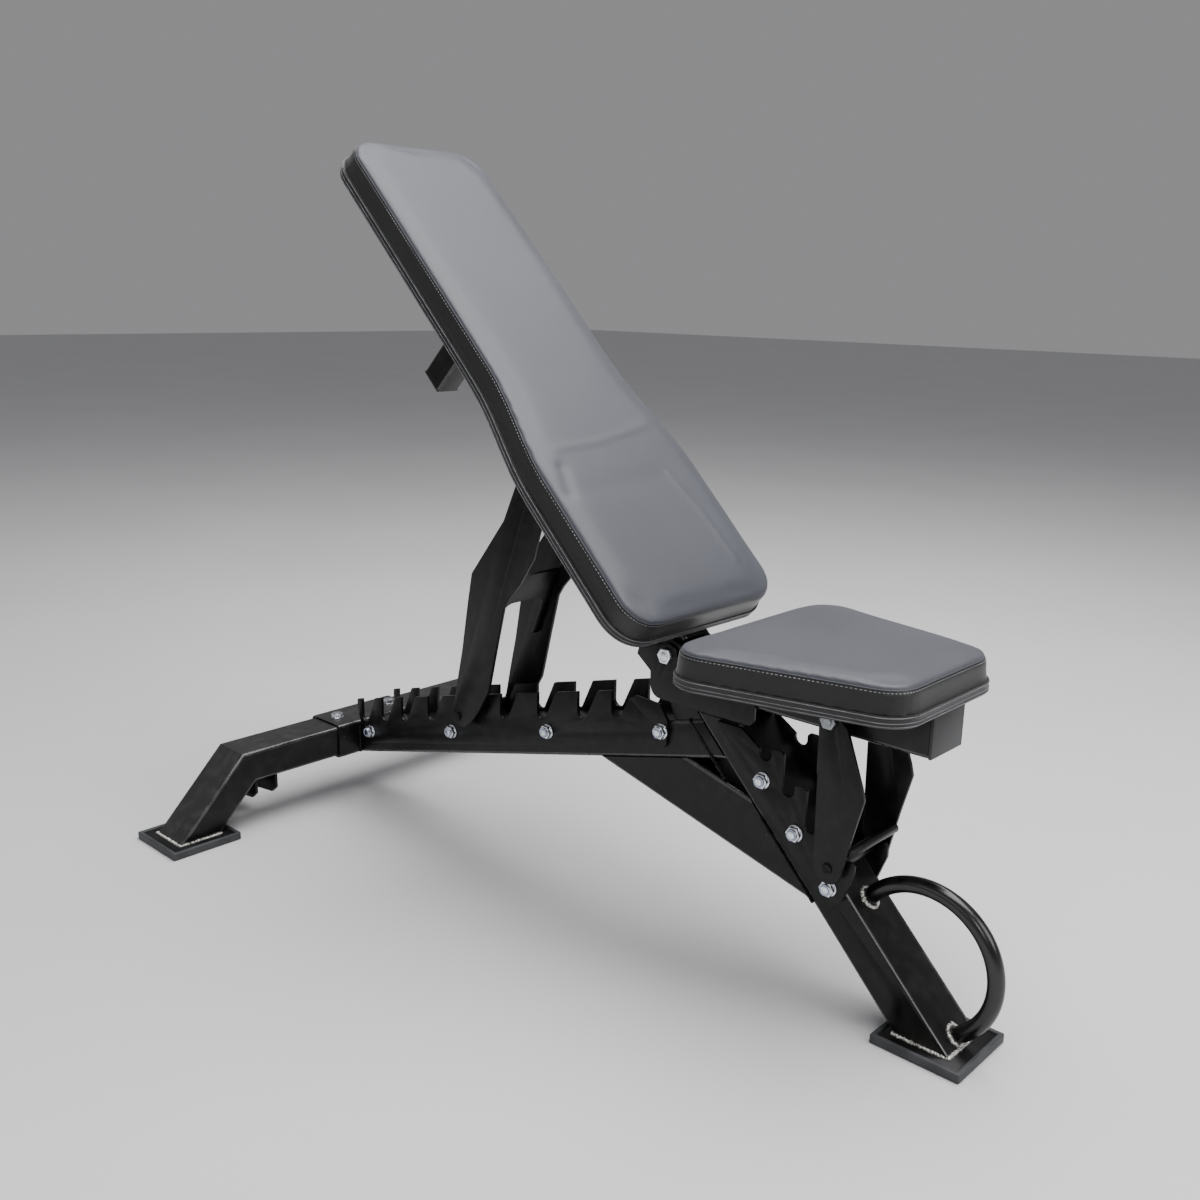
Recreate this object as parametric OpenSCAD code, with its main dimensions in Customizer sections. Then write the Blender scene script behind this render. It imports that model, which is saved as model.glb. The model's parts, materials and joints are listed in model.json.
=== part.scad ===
// Adjustable weight bench, in its reclined position.
// X runs along the bench towards the seat's front, Z is up, and the bench is symmetric about Y = 0.
// The origin is the middle of the underside of the front foot.

/* [Base] */
// Distance from the front foot's middle back to the rear crossbar's middle
foot_pitch = 1092; // [1000:1:1320]
// Distance between the middles of the two rear feet
rear_track = 666; // [560:1:800]
// Height of the rear crossbar's middle
crossbar_z = 102.5; // [90:0.5:125]
// Slope of the front leg and of the rear legs' ends
leg_deg = 46; // [42:1:50]
// Height at which the spine's lower edge meets the front leg
join_z = 276; // [240:1:300]
// Distance behind the front foot's middle at which the front leg's axis meets the foot plate
leg_foot_x = 3; // [0:1:10]

/* [Tubes] */
// Width of the frame tubes
tube_w = 70; // [56:1:84]
// Depth of the frame tubes
tube_h = 50; // [40:1:60]
// Wall of every tube
tube_wall = 3; // [2:0.5:4]
// Depth of the diagonal tube between the spine and the front leg
diagonal_h = 76; // [60:1:84]
// Fall of the diagonal tube towards the front leg
diagonal_deg = 14; // [12:1:18]
// Clearance between the rear legs and the sleeve that they plug into
sleeve_gap = 0.3; // [0.1:0.1:1]
// Half of the sleeve's length
sleeve_half = 78; // [60:1:95]
// Distance that each rear leg plugs into the sleeve
plug_len = 72; // [48:1:76]

/* [Feet] */
// Side of the square rubber shoes
shoe_w = 112; // [104:1:134]
// Height of the rubber shoes
shoe_h = 12; // [9:1:16]
// Thickness of the shoe's floor under the foot plate
shoe_floor = 4; // [3:0.5:6]
// Width of the shoe's rim
shoe_rim = 6; // [4:0.5:8]
// Thickness of the steel foot plates
foot_t = 6; // [5:1:8]

/* [Plates and bolts] */
// Thickness of every flat plate
plate_t = 5; // [4:0.5:6]
// Radius of the locking pins and of the hooks that hold them
pin_r = 9; // [7.5:0.5:10.5]
// Play between a locking pin and its hook
pin_play = 0.2; // [0.1:0.1:0.5]
// Radius of the fixing bolts
bolt_r = 5; // [4:0.5:6]
// Radius of the hinge bolts
hinge_r = 6; // [5:0.5:7]
// Running clearance round a hinge bolt
run_gap = 0.05; // [0.02:0.01:0.08]
// Gap between plates that slide past each other
slide_gap = 1; // [0.5:0.1:2]
// Half distance between the inner faces of the two plates of each strut
strut_in = 51.5; // [51.5:0.5:60]
// Radius of the handle's bar
handle_r = 10; // [8:0.5:12.5]
// Radius of the handle's bend, at the middle of its bar
handle_bend = 90; // [75:1:105]

/* [Pivot and back] */
// Distance behind the front foot's middle to the pivot
pivot_x = 390; // [380:1:400]
// Height of the pivot
pivot_z = 390; // [388:1:410]
// Hook of the back's ladder that holds the strut, counted from the rear starting at 0
back_hook = 4; // [3:1:5]
// Angles of the back in the ladder's hooks
back_angles = [0, 15, 24.5, 34.5, 45, 55, 64, 74, 85];
// Length of the back pad
back_len = 841; // [700:1:1000]
// Half width of the back pad at its lower part
back_half = 151; // [125:1:180]
// Half width of the back pad at its upper part
back_half_top = 125; // [105:1:150]
// Side of the square tube under the back pad
back_tube = 50; // [42:1:50]
// Length of the tube under the back pad
back_tube_len = 600; // [590:1:680]
// Distance from the pivot to the pad's underside
back_offset = 28.5; // [28:0.5:34]
// Distance from the pivot to the strut's hinge along the back
strut_u = 304.5; // [295:0.5:320]
// Distance from the strut's foot pin to its hinge
strut_len = 397.7; // [390:0.1:410]
// Distance from the pivot to the lift post along the back
post_u = 563; // [500:1:575]
// Side of the lift post's square tube
post_w = 40; // [32:1:44]
// Distance from the pivot down to the lift post's end
post_end = 120; // [90:1:130]

/* [Seat] */
// Length of the seat pad
seat_len = 286; // [280:1:340]
// Half width of the seat pad at its rear
seat_half = 165; // [140:1:190]
// Half width of the seat pad at its front
seat_half_front = 118; // [100:1:140]
// Height of the seat pad's underside
seat_z = 401; // [400:1:412]
// Distance behind the front foot's middle to the seat pad's front edge
seat_front = 16; // [0:1:30]
// Distance behind the front foot's middle to the seat strut's hinge
seat_hinge_x = 136; // [132:1:140]
// Distance from the seat strut's foot pin to its hinge
seat_strut_len = 179.6; // [176:0.1:184]
// Distance between neighbouring hooks of the seat's ladder
seat_pitch = 50.2; // [46:0.1:52]
// Number of hooks of the seat's ladder
seat_hooks = 4; // [3:1:4]

/* [Pads] */
// Thickness of the pads with their boards
pad_t = 48; // [42:1:60]
// Bevel across the top of the seat pad's front and rear edges
pad_edge = 14; // [8:1:20]
// Thickness of the plywood boards
board_t = 14; // [10:1:18]
// Distance from a pad's edge to its board's edge
board_inset = 5; // [3:1:10]

/* [Wheels] */
// Radius of the transport wheels
wheel_r = 34; // [28:1:36]
// Width of the transport wheels
wheel_w = 28; // [24:1:32]
// Distance from the middle of the bench to each wheel
wheel_y = 212; // [190:1:212]

/* [Hidden] */
$fn = 48;

// Colours
steel = [0.09, 0.09, 0.1];
zinc = [0.72, 0.74, 0.76];
rubber = [0.13, 0.13, 0.14];
vinyl = [0.16, 0.17, 0.2];
plastic = [0.05, 0.05, 0.05];
plywood = [0.3, 0.25, 0.2];

// Fixing bolts and nuts, worked out from the bolts' radii
bolt_play = 0.2;
nut_af = 3.4 * bolt_r;
washer_r = 2.1 * bolt_r;
washer_t = 1.6;
head_h = 1.3 * bolt_r;
nut_h = 1.6 * bolt_r;
hinge_af = 3.1 * hinge_r;
screw_r = bolt_r - 1;
hinge_head = 0.8 * hinge_r;
sleeve_wall = 6.5;
hinge_sleeve_r = hinge_r + sleeve_wall;

// Feet and front leg: a point on the leg's axis, its direction, and its faces
plate_top = shoe_floor + foot_t;
leg_dir = [-cos(leg_deg), sin(leg_deg)];
leg_out = [sin(leg_deg), cos(leg_deg)];
leg_base = [-leg_foot_x, plate_top];
function on_leg(t, h) = leg_base + t * leg_dir + h * leg_out;
leg_top_z = join_z + tube_h;
// X on the leg's face at offset h from its axis, at height z
function leg_x(z, h) = on_leg(0, h)[0] - (z - on_leg(0, h)[1]) / tan(leg_deg);

// Rear crossbar, sleeve and spine
sleeve_w = tube_w + 2 * (sleeve_gap + tube_wall);
sleeve_h = tube_h + 2 * (sleeve_gap + tube_wall);
spine_start = [-foot_pitch + sleeve_w / 2, crossbar_z - sleeve_h / 2 + 0.5];
spine_join = [leg_x(join_z, -tube_h / 2), join_z];
spine_vec = spine_join - spine_start;
spine_deg = atan2(spine_vec[1], spine_vec[0]);
spine_dir = [cos(spine_deg), sin(spine_deg)];
spine_up = [-sin(spine_deg), cos(spine_deg)];
spine_len = norm(spine_vec);
function on_spine(s, n) = spine_start + s * spine_dir + n * spine_up;
// Distance along the spine at which the line at height n above its lower edge has this X
function spine_s(x, n) = (x - spine_start[0] + n * sin(spine_deg)) / cos(spine_deg);

// Pivot, and points of the back given along it (u) and square to it (n)
back_deg = back_angles[back_hook];
pivot = [-pivot_x, pivot_z];
function on_back(u, n, deg) = pivot + u * [-cos(deg), sin(deg)] + n * [sin(deg), cos(deg)];
strut_n = back_offset - back_tube - hinge_sleeve_r;

// Hooks of the back's ladder: each holds the strut's foot at one of the back's angles
hook_r = pin_r + pin_play;
hook_rise = 3.5;
hook_n = tube_h + hook_rise + hook_r;
// Distance along the hooks' line at which the foot is strut_len from the strut's hinge
function hook_s(deg) =
    let (h = on_back(strut_u, strut_n, deg) - spine_start,
         hs = h * spine_dir,
         hn = h * spine_up - hook_n)
    hs - sqrt(strut_len * strut_len - hn * hn);
function hook(deg) = on_spine(hook_s(deg), hook_n);
strut_foot = hook(back_deg);
strut_hinge = on_back(strut_u, strut_n, back_deg);
strut_vec = strut_hinge - strut_foot;
strut_dir = strut_vec / norm(strut_vec);
strut_rear = [-strut_dir[1], strut_dir[0]];
function on_strut(a, b) = strut_foot + a * strut_dir + b * strut_rear;

// Seat: hinge of its strut, the hook that it stands in, and the hooks above that one
seat_hinge = [-seat_hinge_x, seat_z - tube_h / 2 - 3];
seat_hook_h = tube_h / 2 + 4 + hook_r;
// Distance up the leg at which the foot pin is seat_strut_len below the strut's hinge
seat_hook_t =
    let (h = seat_hinge - leg_base,
         ht = h * leg_dir,
         hh = h * leg_out - seat_hook_h)
    ht - sqrt(seat_strut_len * seat_strut_len - hh * hh);
function seat_hook(k) = on_leg(seat_hook_t + k * seat_pitch, seat_hook_h);
seat_foot = seat_hook(0);
seat_strut_vec = seat_hinge - seat_foot;
seat_strut_dir = seat_strut_vec / norm(seat_strut_vec);
seat_strut_rear = [-seat_strut_dir[1], seat_strut_dir[0]];
function on_seat_strut(a, b) = seat_foot + a * seat_strut_dir + b * seat_strut_rear;

// Planes of the plates, as distances from the middle of the bench
ladder_in = tube_w / 2;
ladder_out = ladder_in + plate_t;
bracket_out = ladder_in - slide_gap;
bracket_in = bracket_out - plate_t;
strut_out = strut_in + plate_t;
pin_half = strut_in - 0.3;
pivot_half = bracket_in - slide_gap / 2;

// An arc of n + 1 points in the XZ plane, angles measured from +X towards +Z
function arc(c, r, a0, a1, n = 8) =
    [for (i = [0 : n]) let (a = a0 + (a1 - a0) * i / n) c + r * [cos(a), sin(a)]];

// Half an outline and its mirror image across the X axis
function mirror_outline(half) =
    concat(half, [for (i = [len(half) - 1 : -1 : 0]) [half[i][0], -half[i][1]]]);

// A plate with its outline in the XZ plane, from y0 to y1
module plate(y0, y1) {
    translate([0, y1, 0]) rotate([90, 0, 0]) linear_extrude(y1 - y0) children();
}
// A pair of plates, or one of them: side -1 is the left (near) one and 1 the right one
module side_plate(side, inner, outer) {
    if (side > 0) plate(inner, outer) children();
    else plate(-outer, -inner) children();
}
module cross_hole(p, r, half) {
    translate([p[0], half, p[1]]) rotate([90, 0, 0]) cylinder(r = r, h = 2 * half);
}
// A cylinder along Y from y0 to y1
module cross_bar(p, r, y0, y1) {
    translate([p[0], y1, p[1]]) rotate([90, 0, 0]) cylinder(r = r, h = y1 - y0);
}
module hex_bar(p, af, y0, y1) {
    translate([p[0], y1, p[1]]) rotate([90, 0, 0]) cylinder(r = af / sqrt(3), h = y1 - y0, $fn = 6);
}
module at(p) {
    translate([p[0], p[1]]) children();
}

// A tube along a direction in the XZ plane: lower edge starts at p, h deep, w wide, from s0 to s1
module sloped_tube(p, deg, w, h, s0, s1, wall) {
    translate([p[0], 0, p[1]]) rotate([0, -deg, 0]) difference() {
        translate([s0, -w / 2, 0]) cube([s1 - s0, w, h]);
        translate([s0 - 1, -w / 2 + wall, wall]) cube([s1 - s0 + 2, w - 2 * wall, h - 2 * wall]);
    }
}

// ---- Base ----

module rear_sleeve() {
    color(steel) difference() {
        translate([-foot_pitch - sleeve_w / 2, -sleeve_half, crossbar_z - sleeve_h / 2])
            cube([sleeve_w, 2 * sleeve_half, sleeve_h]);
        translate([-foot_pitch, 0, crossbar_z])
            cube([tube_w + 2 * sleeve_gap, 2 * sleeve_half + 2, tube_h + 2 * sleeve_gap], center = true);
        for (y = [-sleeve_bolt_y, sleeve_bolt_y])
            translate([-foot_pitch, y, 0]) cylinder(r = bolt_r + bolt_play, h = 2 * crossbar_z);
    }
}
sleeve_bolt_y = sleeve_half - plug_len / 3;

// Outline of a rear leg in the YZ plane, drawn inset by w all round except at its two open ends
rear_foot_y = rear_track / 2;
leg_slant = tube_h / sin(leg_deg);
bend_rise = crossbar_z + tube_h / 2 - plate_top;
bend_y = rear_foot_y + leg_slant / 2 - bend_rise / tan(leg_deg);
function leg_outline(w, extra) =
    let (top = crossbar_z + tube_h / 2 - w,
         low = crossbar_z - tube_h / 2 + w,
         bend_top = bend_y - w * tan(leg_deg / 2),
         bend_low = bend_y - (tube_h - w) * tan(leg_deg / 2),
         foot = plate_top - extra,
         start = sleeve_half - plug_len - extra)
    [[start, low], [bend_low, low], [bend_low + (low - foot) / tan(leg_deg), foot],
     [bend_top + (top - foot) / tan(leg_deg), foot], [bend_top, top], [start, top]];

module rear_leg() {
    difference() {
        translate([-foot_pitch - tube_w / 2, 0, 0]) rotate([90, 0, 90]) linear_extrude(tube_w)
            polygon(leg_outline(0, 0));
        translate([-foot_pitch - tube_w / 2 + tube_wall, 0, 0]) rotate([90, 0, 90])
            linear_extrude(tube_w - 2 * tube_wall) polygon(leg_outline(tube_wall, 1));
        translate([-foot_pitch, sleeve_bolt_y, 0]) cylinder(r = bolt_r + bolt_play, h = 2 * crossbar_z);
    }
}
module rear_leg_right() {
    color(steel) rear_leg();
}
module rear_leg_left() {
    color(steel) mirror([0, 1, 0]) rear_leg();
}

// Everything in front of the leg's underside is cut from the spine and the diagonal
module beyond_leg() {
    far = 600;
    plate(-tube_w, tube_w) polygon([on_leg(-far, -tube_h / 2), on_leg(2 * far, -tube_h / 2),
        on_leg(2 * far, far), on_leg(-far, far)]);
}
module spine_tube() {
    color(steel) difference() {
        sloped_tube(spine_start, spine_deg, tube_w, tube_h, -tube_h, spine_len + tube_h, tube_wall);
        beyond_leg();
        translate([spine_start[0] - 2 * tube_h, -tube_w, -tube_h])
            cube([2 * tube_h, 2 * tube_w, 6 * tube_h]);
        for (s = spine_bolt_s) cross_hole(on_spine(s, spine_bolt_n), bolt_r + bolt_play, tube_w);
    }
}
module front_leg() {
    reach = leg_top_z / sin(leg_deg) + tube_h;
    color(steel) difference() {
        sloped_leg(reach);
        for (z = [leg_top_z, plate_top - leg_top_z])
            translate([-foot_pitch, -tube_w, z]) cube([2 * foot_pitch, 2 * tube_w, leg_top_z]);
        for (p = seat_ladder_bolts) cross_hole(p, bolt_r + bolt_play, tube_w);
    }
}
module sloped_leg(reach) {
    translate([leg_base[0], 0, leg_base[1]]) rotate([0, leg_deg - 180, 0]) difference() {
        translate([-tube_h, -tube_w / 2, -tube_h / 2]) cube([reach + tube_h, tube_w, tube_h]);
        translate([-tube_h - 1, -tube_w / 2 + tube_wall, -tube_h / 2 + tube_wall])
            cube([reach + tube_h + 2, tube_w - 2 * tube_wall, tube_h - 2 * tube_wall]);
    }
}

// The diagonal's lower edge starts on the spine and falls to the leg's underside
diagonal_end = [leg_x(plate_top + 123, -tube_h / 2), plate_top + 123];
diagonal_s =
    let (e = diagonal_end - spine_start,
         d = [-cos(diagonal_deg), sin(diagonal_deg)],
         t = -(e * spine_up) / (d * spine_up))
    t;
diagonal_start = diagonal_end + diagonal_s * [-cos(diagonal_deg), sin(diagonal_deg)];
module diagonal_tube() {
    color(steel) difference() {
        sloped_tube(diagonal_start, -diagonal_deg, tube_w, diagonal_h,
            -diagonal_h, diagonal_s + diagonal_h, tube_wall);
        beyond_leg();
        above_spine();
    }
}
module above_spine() {
    plate(-tube_w, tube_w) polygon([on_spine(-tube_h, 0), on_spine(2 * spine_len, 0),
        on_spine(2 * spine_len, spine_len), on_spine(-tube_h, spine_len)]);
}

// ---- Feet ----

foot_places = [[0, 0], [-foot_pitch, -rear_foot_y], [-foot_pitch, rear_foot_y]];
foot_plate_w = shoe_w - 2 * shoe_rim - 0.6;
module foot_plates() {
    color(steel) for (p = foot_places)
        translate([p[0], p[1], shoe_floor + foot_t / 2])
        cube([foot_plate_w, foot_plate_w, foot_t], center = true);
}
module shoe(p) {
    recess = shoe_w - 2 * shoe_rim;
    color(rubber) difference() {
        translate([p[0] - shoe_w / 2, p[1] - shoe_w / 2, 0]) cube([shoe_w, shoe_w, shoe_h]);
        translate([p[0] - recess / 2, p[1] - recess / 2, shoe_floor]) cube([recess, recess, shoe_h]);
    }
}
module front_shoe() {
    shoe(foot_places[0]);
}
module rear_shoe_left() {
    shoe(foot_places[1]);
}
module rear_shoe_right() {
    shoe(foot_places[2]);
}

// ---- Handle ----

// The bar is a ring whose middle lies handle_lift in front of the leg's face, cut off at that face
handle_lift = 17;
handle_mid = on_leg(78, tube_h / 2 + handle_lift);
handle_half = acos(-handle_lift / handle_bend);
module lift_handle() {
    over = 4;
    color(steel) difference() {
        translate([handle_mid[0], 0, handle_mid[1]]) rotate([90, 0, 0])
            rotate([0, 0, 90 - leg_deg - handle_half - over])
            rotate_extrude(angle = 2 * (handle_half + over)) translate([handle_bend, 0]) circle(r = handle_r);
        sloped_block();
    }
}
// A block that fills the leg and what is behind it
module sloped_block() {
    far = 3 * handle_bend;
    plate(-tube_w, tube_w) polygon([on_leg(-far, tube_h / 2), on_leg(far + handle_bend, tube_h / 2),
        on_leg(far + handle_bend, -tube_h), on_leg(-far, -tube_h)]);
}

// ---- Back ladder ----

ladder_low_n = 16.3;
tooth_n = hook_n + 29;
tooth_lean = 25;
ladder_rear_s = hook_s(back_angles[0]) - hook_r - 8;
ladder_front_s = hook_s(back_angles[len(back_angles) - 1]);
spine_bolt_n = 36.5;
spine_bolt_pitch = (ladder_front_s - ladder_rear_s + 50) / 3;
spine_bolt_s = [for (k = [0 : 3]) ladder_rear_s + 25 + k * spine_bolt_pitch];
// The front end of the ladder dips under the seat's side plates
ladder_nose = pivot - [0, 66];
module hook_cut(p) {
    mouth = 90;
    edge = hook_r * [cos(tooth_lean), -sin(tooth_lean)];
    at(p) union() {
        circle(r = hook_r);
        polygon([[-hook_r, 0], edge, edge + mouth * [sin(tooth_lean), cos(tooth_lean)], [-hook_r, mouth]]);
    }
}
module back_ladder_outline() {
    nose_s = spine_s(ladder_nose[0], ladder_low_n);
    difference() {
        polygon(concat(
            [on_spine(ladder_rear_s, ladder_low_n), on_spine(nose_s, ladder_low_n)],
            arc(ladder_nose + [-6, -50], 10, -60, 0, 4),
            [ladder_nose + [4, -20], ladder_nose + [-10, -2], ladder_nose + [-52, 0]],
            [on_spine(ladder_front_s + 30, hook_n + 17), on_spine(ladder_front_s + 5, tooth_n),
             on_spine(ladder_rear_s + 3, tooth_n), on_spine(ladder_rear_s, tooth_n - 8)]));
        for (a = back_angles) hook_cut(hook(a));
        for (s = spine_bolt_s) at(on_spine(s, spine_bolt_n)) circle(r = bolt_r + bolt_play);
    }
}
module back_ladder_left() {
    color(steel) side_plate(-1, ladder_in, ladder_out) back_ladder_outline();
}
module back_ladder_right() {
    color(steel) side_plate(1, ladder_in, ladder_out) back_ladder_outline();
}

// ---- Seat ladder ----

lip_h = 9;
seat_ladder_low = -tube_h / 2 + 16;
seat_ladder_bolts = [for (k = [0 : 2]) on_leg(seat_hook_t - 19 + k * 73, 13)];
seat_hook_list = [for (k = [seat_hooks - 1 : -1 : 0]) seat_hook(k)];
function lip(p, wall_x) =
    [[p[0] + hook_r, p[1]], [p[0] + hook_r, p[1] + lip_h - 3], [p[0] + hook_r + 3, p[1] + lip_h],
     [wall_x - 4, p[1] + lip_h], [wall_x, p[1] + lip_h - 4]];
module seat_ladder_outline() {
    step = seat_pitch * cos(leg_deg);
    top = leg_top_z - 2;
    difference() {
        polygon(concat(
            [on_leg(seat_hook_t - 40, seat_ladder_low)],
            [on_leg(seat_hook_t + seat_hooks * seat_pitch - 12, seat_ladder_low)],
            [[leg_x(top, 0), top], [leg_x(top, tube_h / 2) + 2, top]],
            [for (p = seat_hook_list) each concat([[p[0] - hook_r, p[1] + 4]], arc(p, hook_r, 180, 360, 10),
                lip(p, p[0] + step - hook_r))],
            [[seat_foot[0] + step - hook_r, seat_foot[1] - 8], on_leg(seat_hook_t - 40, tube_h / 2 - 8)]));
        for (p = seat_ladder_bolts) at(p) circle(r = bolt_r + bolt_play);
    }
}
module seat_ladder_left() {
    color(steel) side_plate(-1, ladder_in, ladder_out) seat_ladder_outline();
}
module seat_ladder_right() {
    color(steel) side_plate(1, ladder_in, ladder_out) seat_ladder_outline();
}

// ---- Pivot brackets ----

bracket_r = 20;
module bracket_outline() {
    foot_rear = on_spine(spine_s(pivot[0] + 12, tube_h), tube_h);
    base_x = spine_join[0] - 4;
    front_x = base_x + 30;
    difference() {
        polygon(concat([foot_rear, on_spine(spine_s(base_x, tube_h), tube_h), [base_x, leg_top_z]],
            [[front_x, leg_top_z], [front_x, leg_top_z + 4], pivot + [44, -24]],
            arc(pivot, bracket_r, 20, 190, 12)));
        at(pivot) circle(r = hinge_r + run_gap);
        polygon([
            [leg_x(0, -tube_h / 2), 0], [leg_x(leg_top_z, -tube_h / 2), leg_top_z],
            [0, leg_top_z], [0, 0]
        ]);
    }
}
module pivot_bracket_left() {
    color(steel) side_plate(-1, bracket_in, bracket_out) bracket_outline();
}
module pivot_bracket_right() {
    color(steel) side_plate(1, bracket_in, bracket_out) bracket_outline();
}

// ---- Fasteners of the frame ----

frame_bolt_places = concat([for (s = spine_bolt_s) on_spine(s, spine_bolt_n)], seat_ladder_bolts);
module frame_bolts() {
    color(zinc) for (p = frame_bolt_places) {
        cross_bar(p, bolt_r, -ladder_out - washer_t - nut_h - 1, ladder_out + washer_t + 1);
        hex_bar(p, nut_af, ladder_out + washer_t, ladder_out + washer_t + head_h);
    }
}
module frame_nuts() {
    color(zinc) for (p = frame_bolt_places) difference() {
        union() {
            hex_bar(p, nut_af, -ladder_out - washer_t - nut_h * 0.7, -ladder_out - washer_t);
            cross_bar(p, nut_af * 0.43, -ladder_out - washer_t - nut_h, -ladder_out - washer_t);
        }
        cross_hole(p, bolt_r, 2 * ladder_out);
    }
}
module frame_washers() {
    color(zinc) for (p = frame_bolt_places, y = [ladder_out, -ladder_out - washer_t]) difference() {
        cross_bar(p, washer_r, y, y + washer_t);
        cross_hole(p, bolt_r, 2 * ladder_out);
    }
}
module sleeve_bolts() {
    top = crossbar_z + sleeve_h / 2;
    low = crossbar_z - sleeve_h / 2;
    color(zinc) for (y = [-sleeve_bolt_y, sleeve_bolt_y]) translate([-foot_pitch, y, 0]) {
        translate([0, 0, low - washer_t - 1]) cylinder(r = bolt_r, h = top - low + 2 * washer_t + nut_h);
        translate([0, 0, low - washer_t - head_h]) cylinder(r = nut_af / sqrt(3), h = head_h, $fn = 6);
        translate([0, 0, low - washer_t]) cylinder(r = washer_r, h = washer_t);
        translate([0, 0, top]) cylinder(r = washer_r, h = washer_t);
        translate([0, 0, top + washer_t]) cylinder(r = nut_af / sqrt(3), h = nut_h * 0.7, $fn = 6);
    }
}
module pivot_bolt() {
    color(zinc) {
        cross_bar(pivot, hinge_r, -ladder_out - slide_gap - washer_t - hinge_head, ladder_out + 2);
        hex_bar(pivot, hinge_af, ladder_out + slide_gap / 2, ladder_out + slide_gap / 2 + hinge_head);
    }
}
module pivot_nut() {
    color(zinc) difference() {
        hex_bar(pivot, hinge_af, -ladder_out - slide_gap / 2 - 1.3 * hinge_head, -ladder_out - slide_gap / 2);
        cross_hole(pivot, hinge_r, 2 * ladder_out);
    }
}

// ---- Locking pins ----

module back_lock_pin() {
    color(steel) cross_bar(strut_foot - [0, pin_play], pin_r, -pin_half, pin_half);
}
module seat_lock_pin() {
    color(steel) cross_bar(seat_foot - [0, pin_play], pin_r, -pin_half, pin_half);
}

// ---- Transport wheels ----

axle_r = 4;
wheel_rise = 12;
wheel_at = [-foot_pitch - tube_w / 2 - wheel_r - 6, wheel_r + wheel_rise];
fork_in = wheel_w / 2 + 1.5;
fork_r = 13;
module fork_outline() {
    low = crossbar_z - tube_h / 2;
    front_x = -foot_pitch + tube_w / 2 - 6;
    difference() {
        polygon(concat([[front_x, low], [-foot_pitch - tube_w / 2, low], wheel_at + [2, fork_r]],
            arc(wheel_at, fork_r, 90, 270, 8),
            [[front_x - 12, wheel_at[1] - 2], [front_x, wheel_at[1] + 8]]));
        at(wheel_at) circle(r = axle_r + bolt_play);
    }
}
module wheel_fork(y) {
    color(steel) difference() {
        for (side = [-1, 1]) {
            inner = y + side * fork_in;
            plate(side > 0 ? inner : inner - plate_t, side > 0 ? inner + plate_t : inner) fork_outline();
        }
        mirror([0, y < 0 ? 1 : 0, 0]) outside_slant();
    }
}
// The space from a rear leg's slanted underside outwards, which the forks are cut by
module outside_slant() {
    slant = leg_outline(0, 0);
    translate([-foot_pitch - tube_w / 2, 0, 0]) rotate([90, 0, 90]) linear_extrude(tube_w)
        polygon([slant[1], slant[2], slant[3], [slant[3][0], slant[1][1]]]);
}
module wheel_fork_left() {
    wheel_fork(-wheel_y);
}
module wheel_fork_right() {
    wheel_fork(wheel_y);
}
axle_af = 13;
module wheel_bolts() {
    outer = fork_in + plate_t;
    color(zinc) for (y = [-wheel_y, wheel_y]) translate([0, y, 0]) {
        cross_bar(wheel_at, axle_r, -outer - 6, outer + 2);
        hex_bar(wheel_at, axle_af, -outer - 6, -outer);
        hex_bar(wheel_at, axle_af, outer, outer + 5);
    }
}
// Half of the wheel's section, from its bore out to its tread: distance from the axle, and height
hub_r = 12;
wheel_half = wheel_w / 2;
wheel_section = [[axle_r + run_gap, wheel_half], [hub_r, wheel_half], [hub_r + 2, wheel_half - 4],
    [wheel_r - 8, wheel_half - 4], [wheel_r - 6, wheel_half - 1], [wheel_r - 2, wheel_half - 1],
    [wheel_r, wheel_half - 5]];
module wheel(y) {
    color(plastic) translate([wheel_at[0], y, wheel_at[1]]) rotate([90, 0, 0]) rotate_extrude($fn = 64)
        polygon(mirror_outline(wheel_section));
}
module wheel_left() {
    wheel(-wheel_y);
}
module wheel_right() {
    wheel(wheel_y);
}

// ---- Back ----

// Places children given with u along -X and n along Z, so that they lie on the reclined back
module back_frame() {
    translate([pivot[0], 0, pivot[1]]) rotate([0, back_deg, 0]) children();
}
module back_frame_tube() {
    top = back_offset;
    color(steel) back_frame() difference() {
        translate([-back_tube_len, -back_tube / 2, top - back_tube])
            cube([back_tube_len - 4, back_tube, back_tube]);
        translate([-back_tube_len - 1, -back_tube / 2 + tube_wall, top - back_tube + tube_wall])
            cube([back_tube_len + 2, back_tube - 2 * tube_wall, back_tube - 2 * tube_wall]);
        cross_hole([0, 0], hinge_sleeve_r, back_tube);
    }
}
module sleeve(p, half) {
    difference() {
        cross_bar(p, hinge_sleeve_r, -half, half);
        cross_hole(p, hinge_r + run_gap, half + 1);
    }
}
module back_pivot_sleeve() {
    color(steel) sleeve(pivot, pivot_half);
}
wing_w = 42;
wing_reach = 95;
module back_pad_wings() {
    color(steel) back_frame() for (u = [90, back_tube_len - 80], side = [-1, 1])
        difference() {
            translate([-u - wing_w / 2, side > 0 ? back_tube / 2 : -wing_reach, back_offset - plate_t])
                cube([wing_w, wing_reach - back_tube / 2, plate_t]);
            translate([-u, side * (wing_reach - 15), back_offset - 2 * plate_t])
                cylinder(r = screw_r + bolt_play, h = 3 * plate_t);
        }
}
module back_strut_lugs() {
    p = [-strut_u, strut_n];
    lug_top = hinge_sleeve_r + 20;
    color(steel) back_frame() for (side = [-1, 1])
        side_plate(side, back_tube / 2, back_tube / 2 + plate_t) difference() {
            polygon(concat(
                arc(p, hinge_sleeve_r + 6, 180, 360, 10),
                [p + [30, lug_top], p + [-30, lug_top]]));
            at(p) circle(r = hinge_sleeve_r);
        }
}
module back_strut_sleeve() {
    color(steel) sleeve(strut_hinge, pin_half);
}
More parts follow.
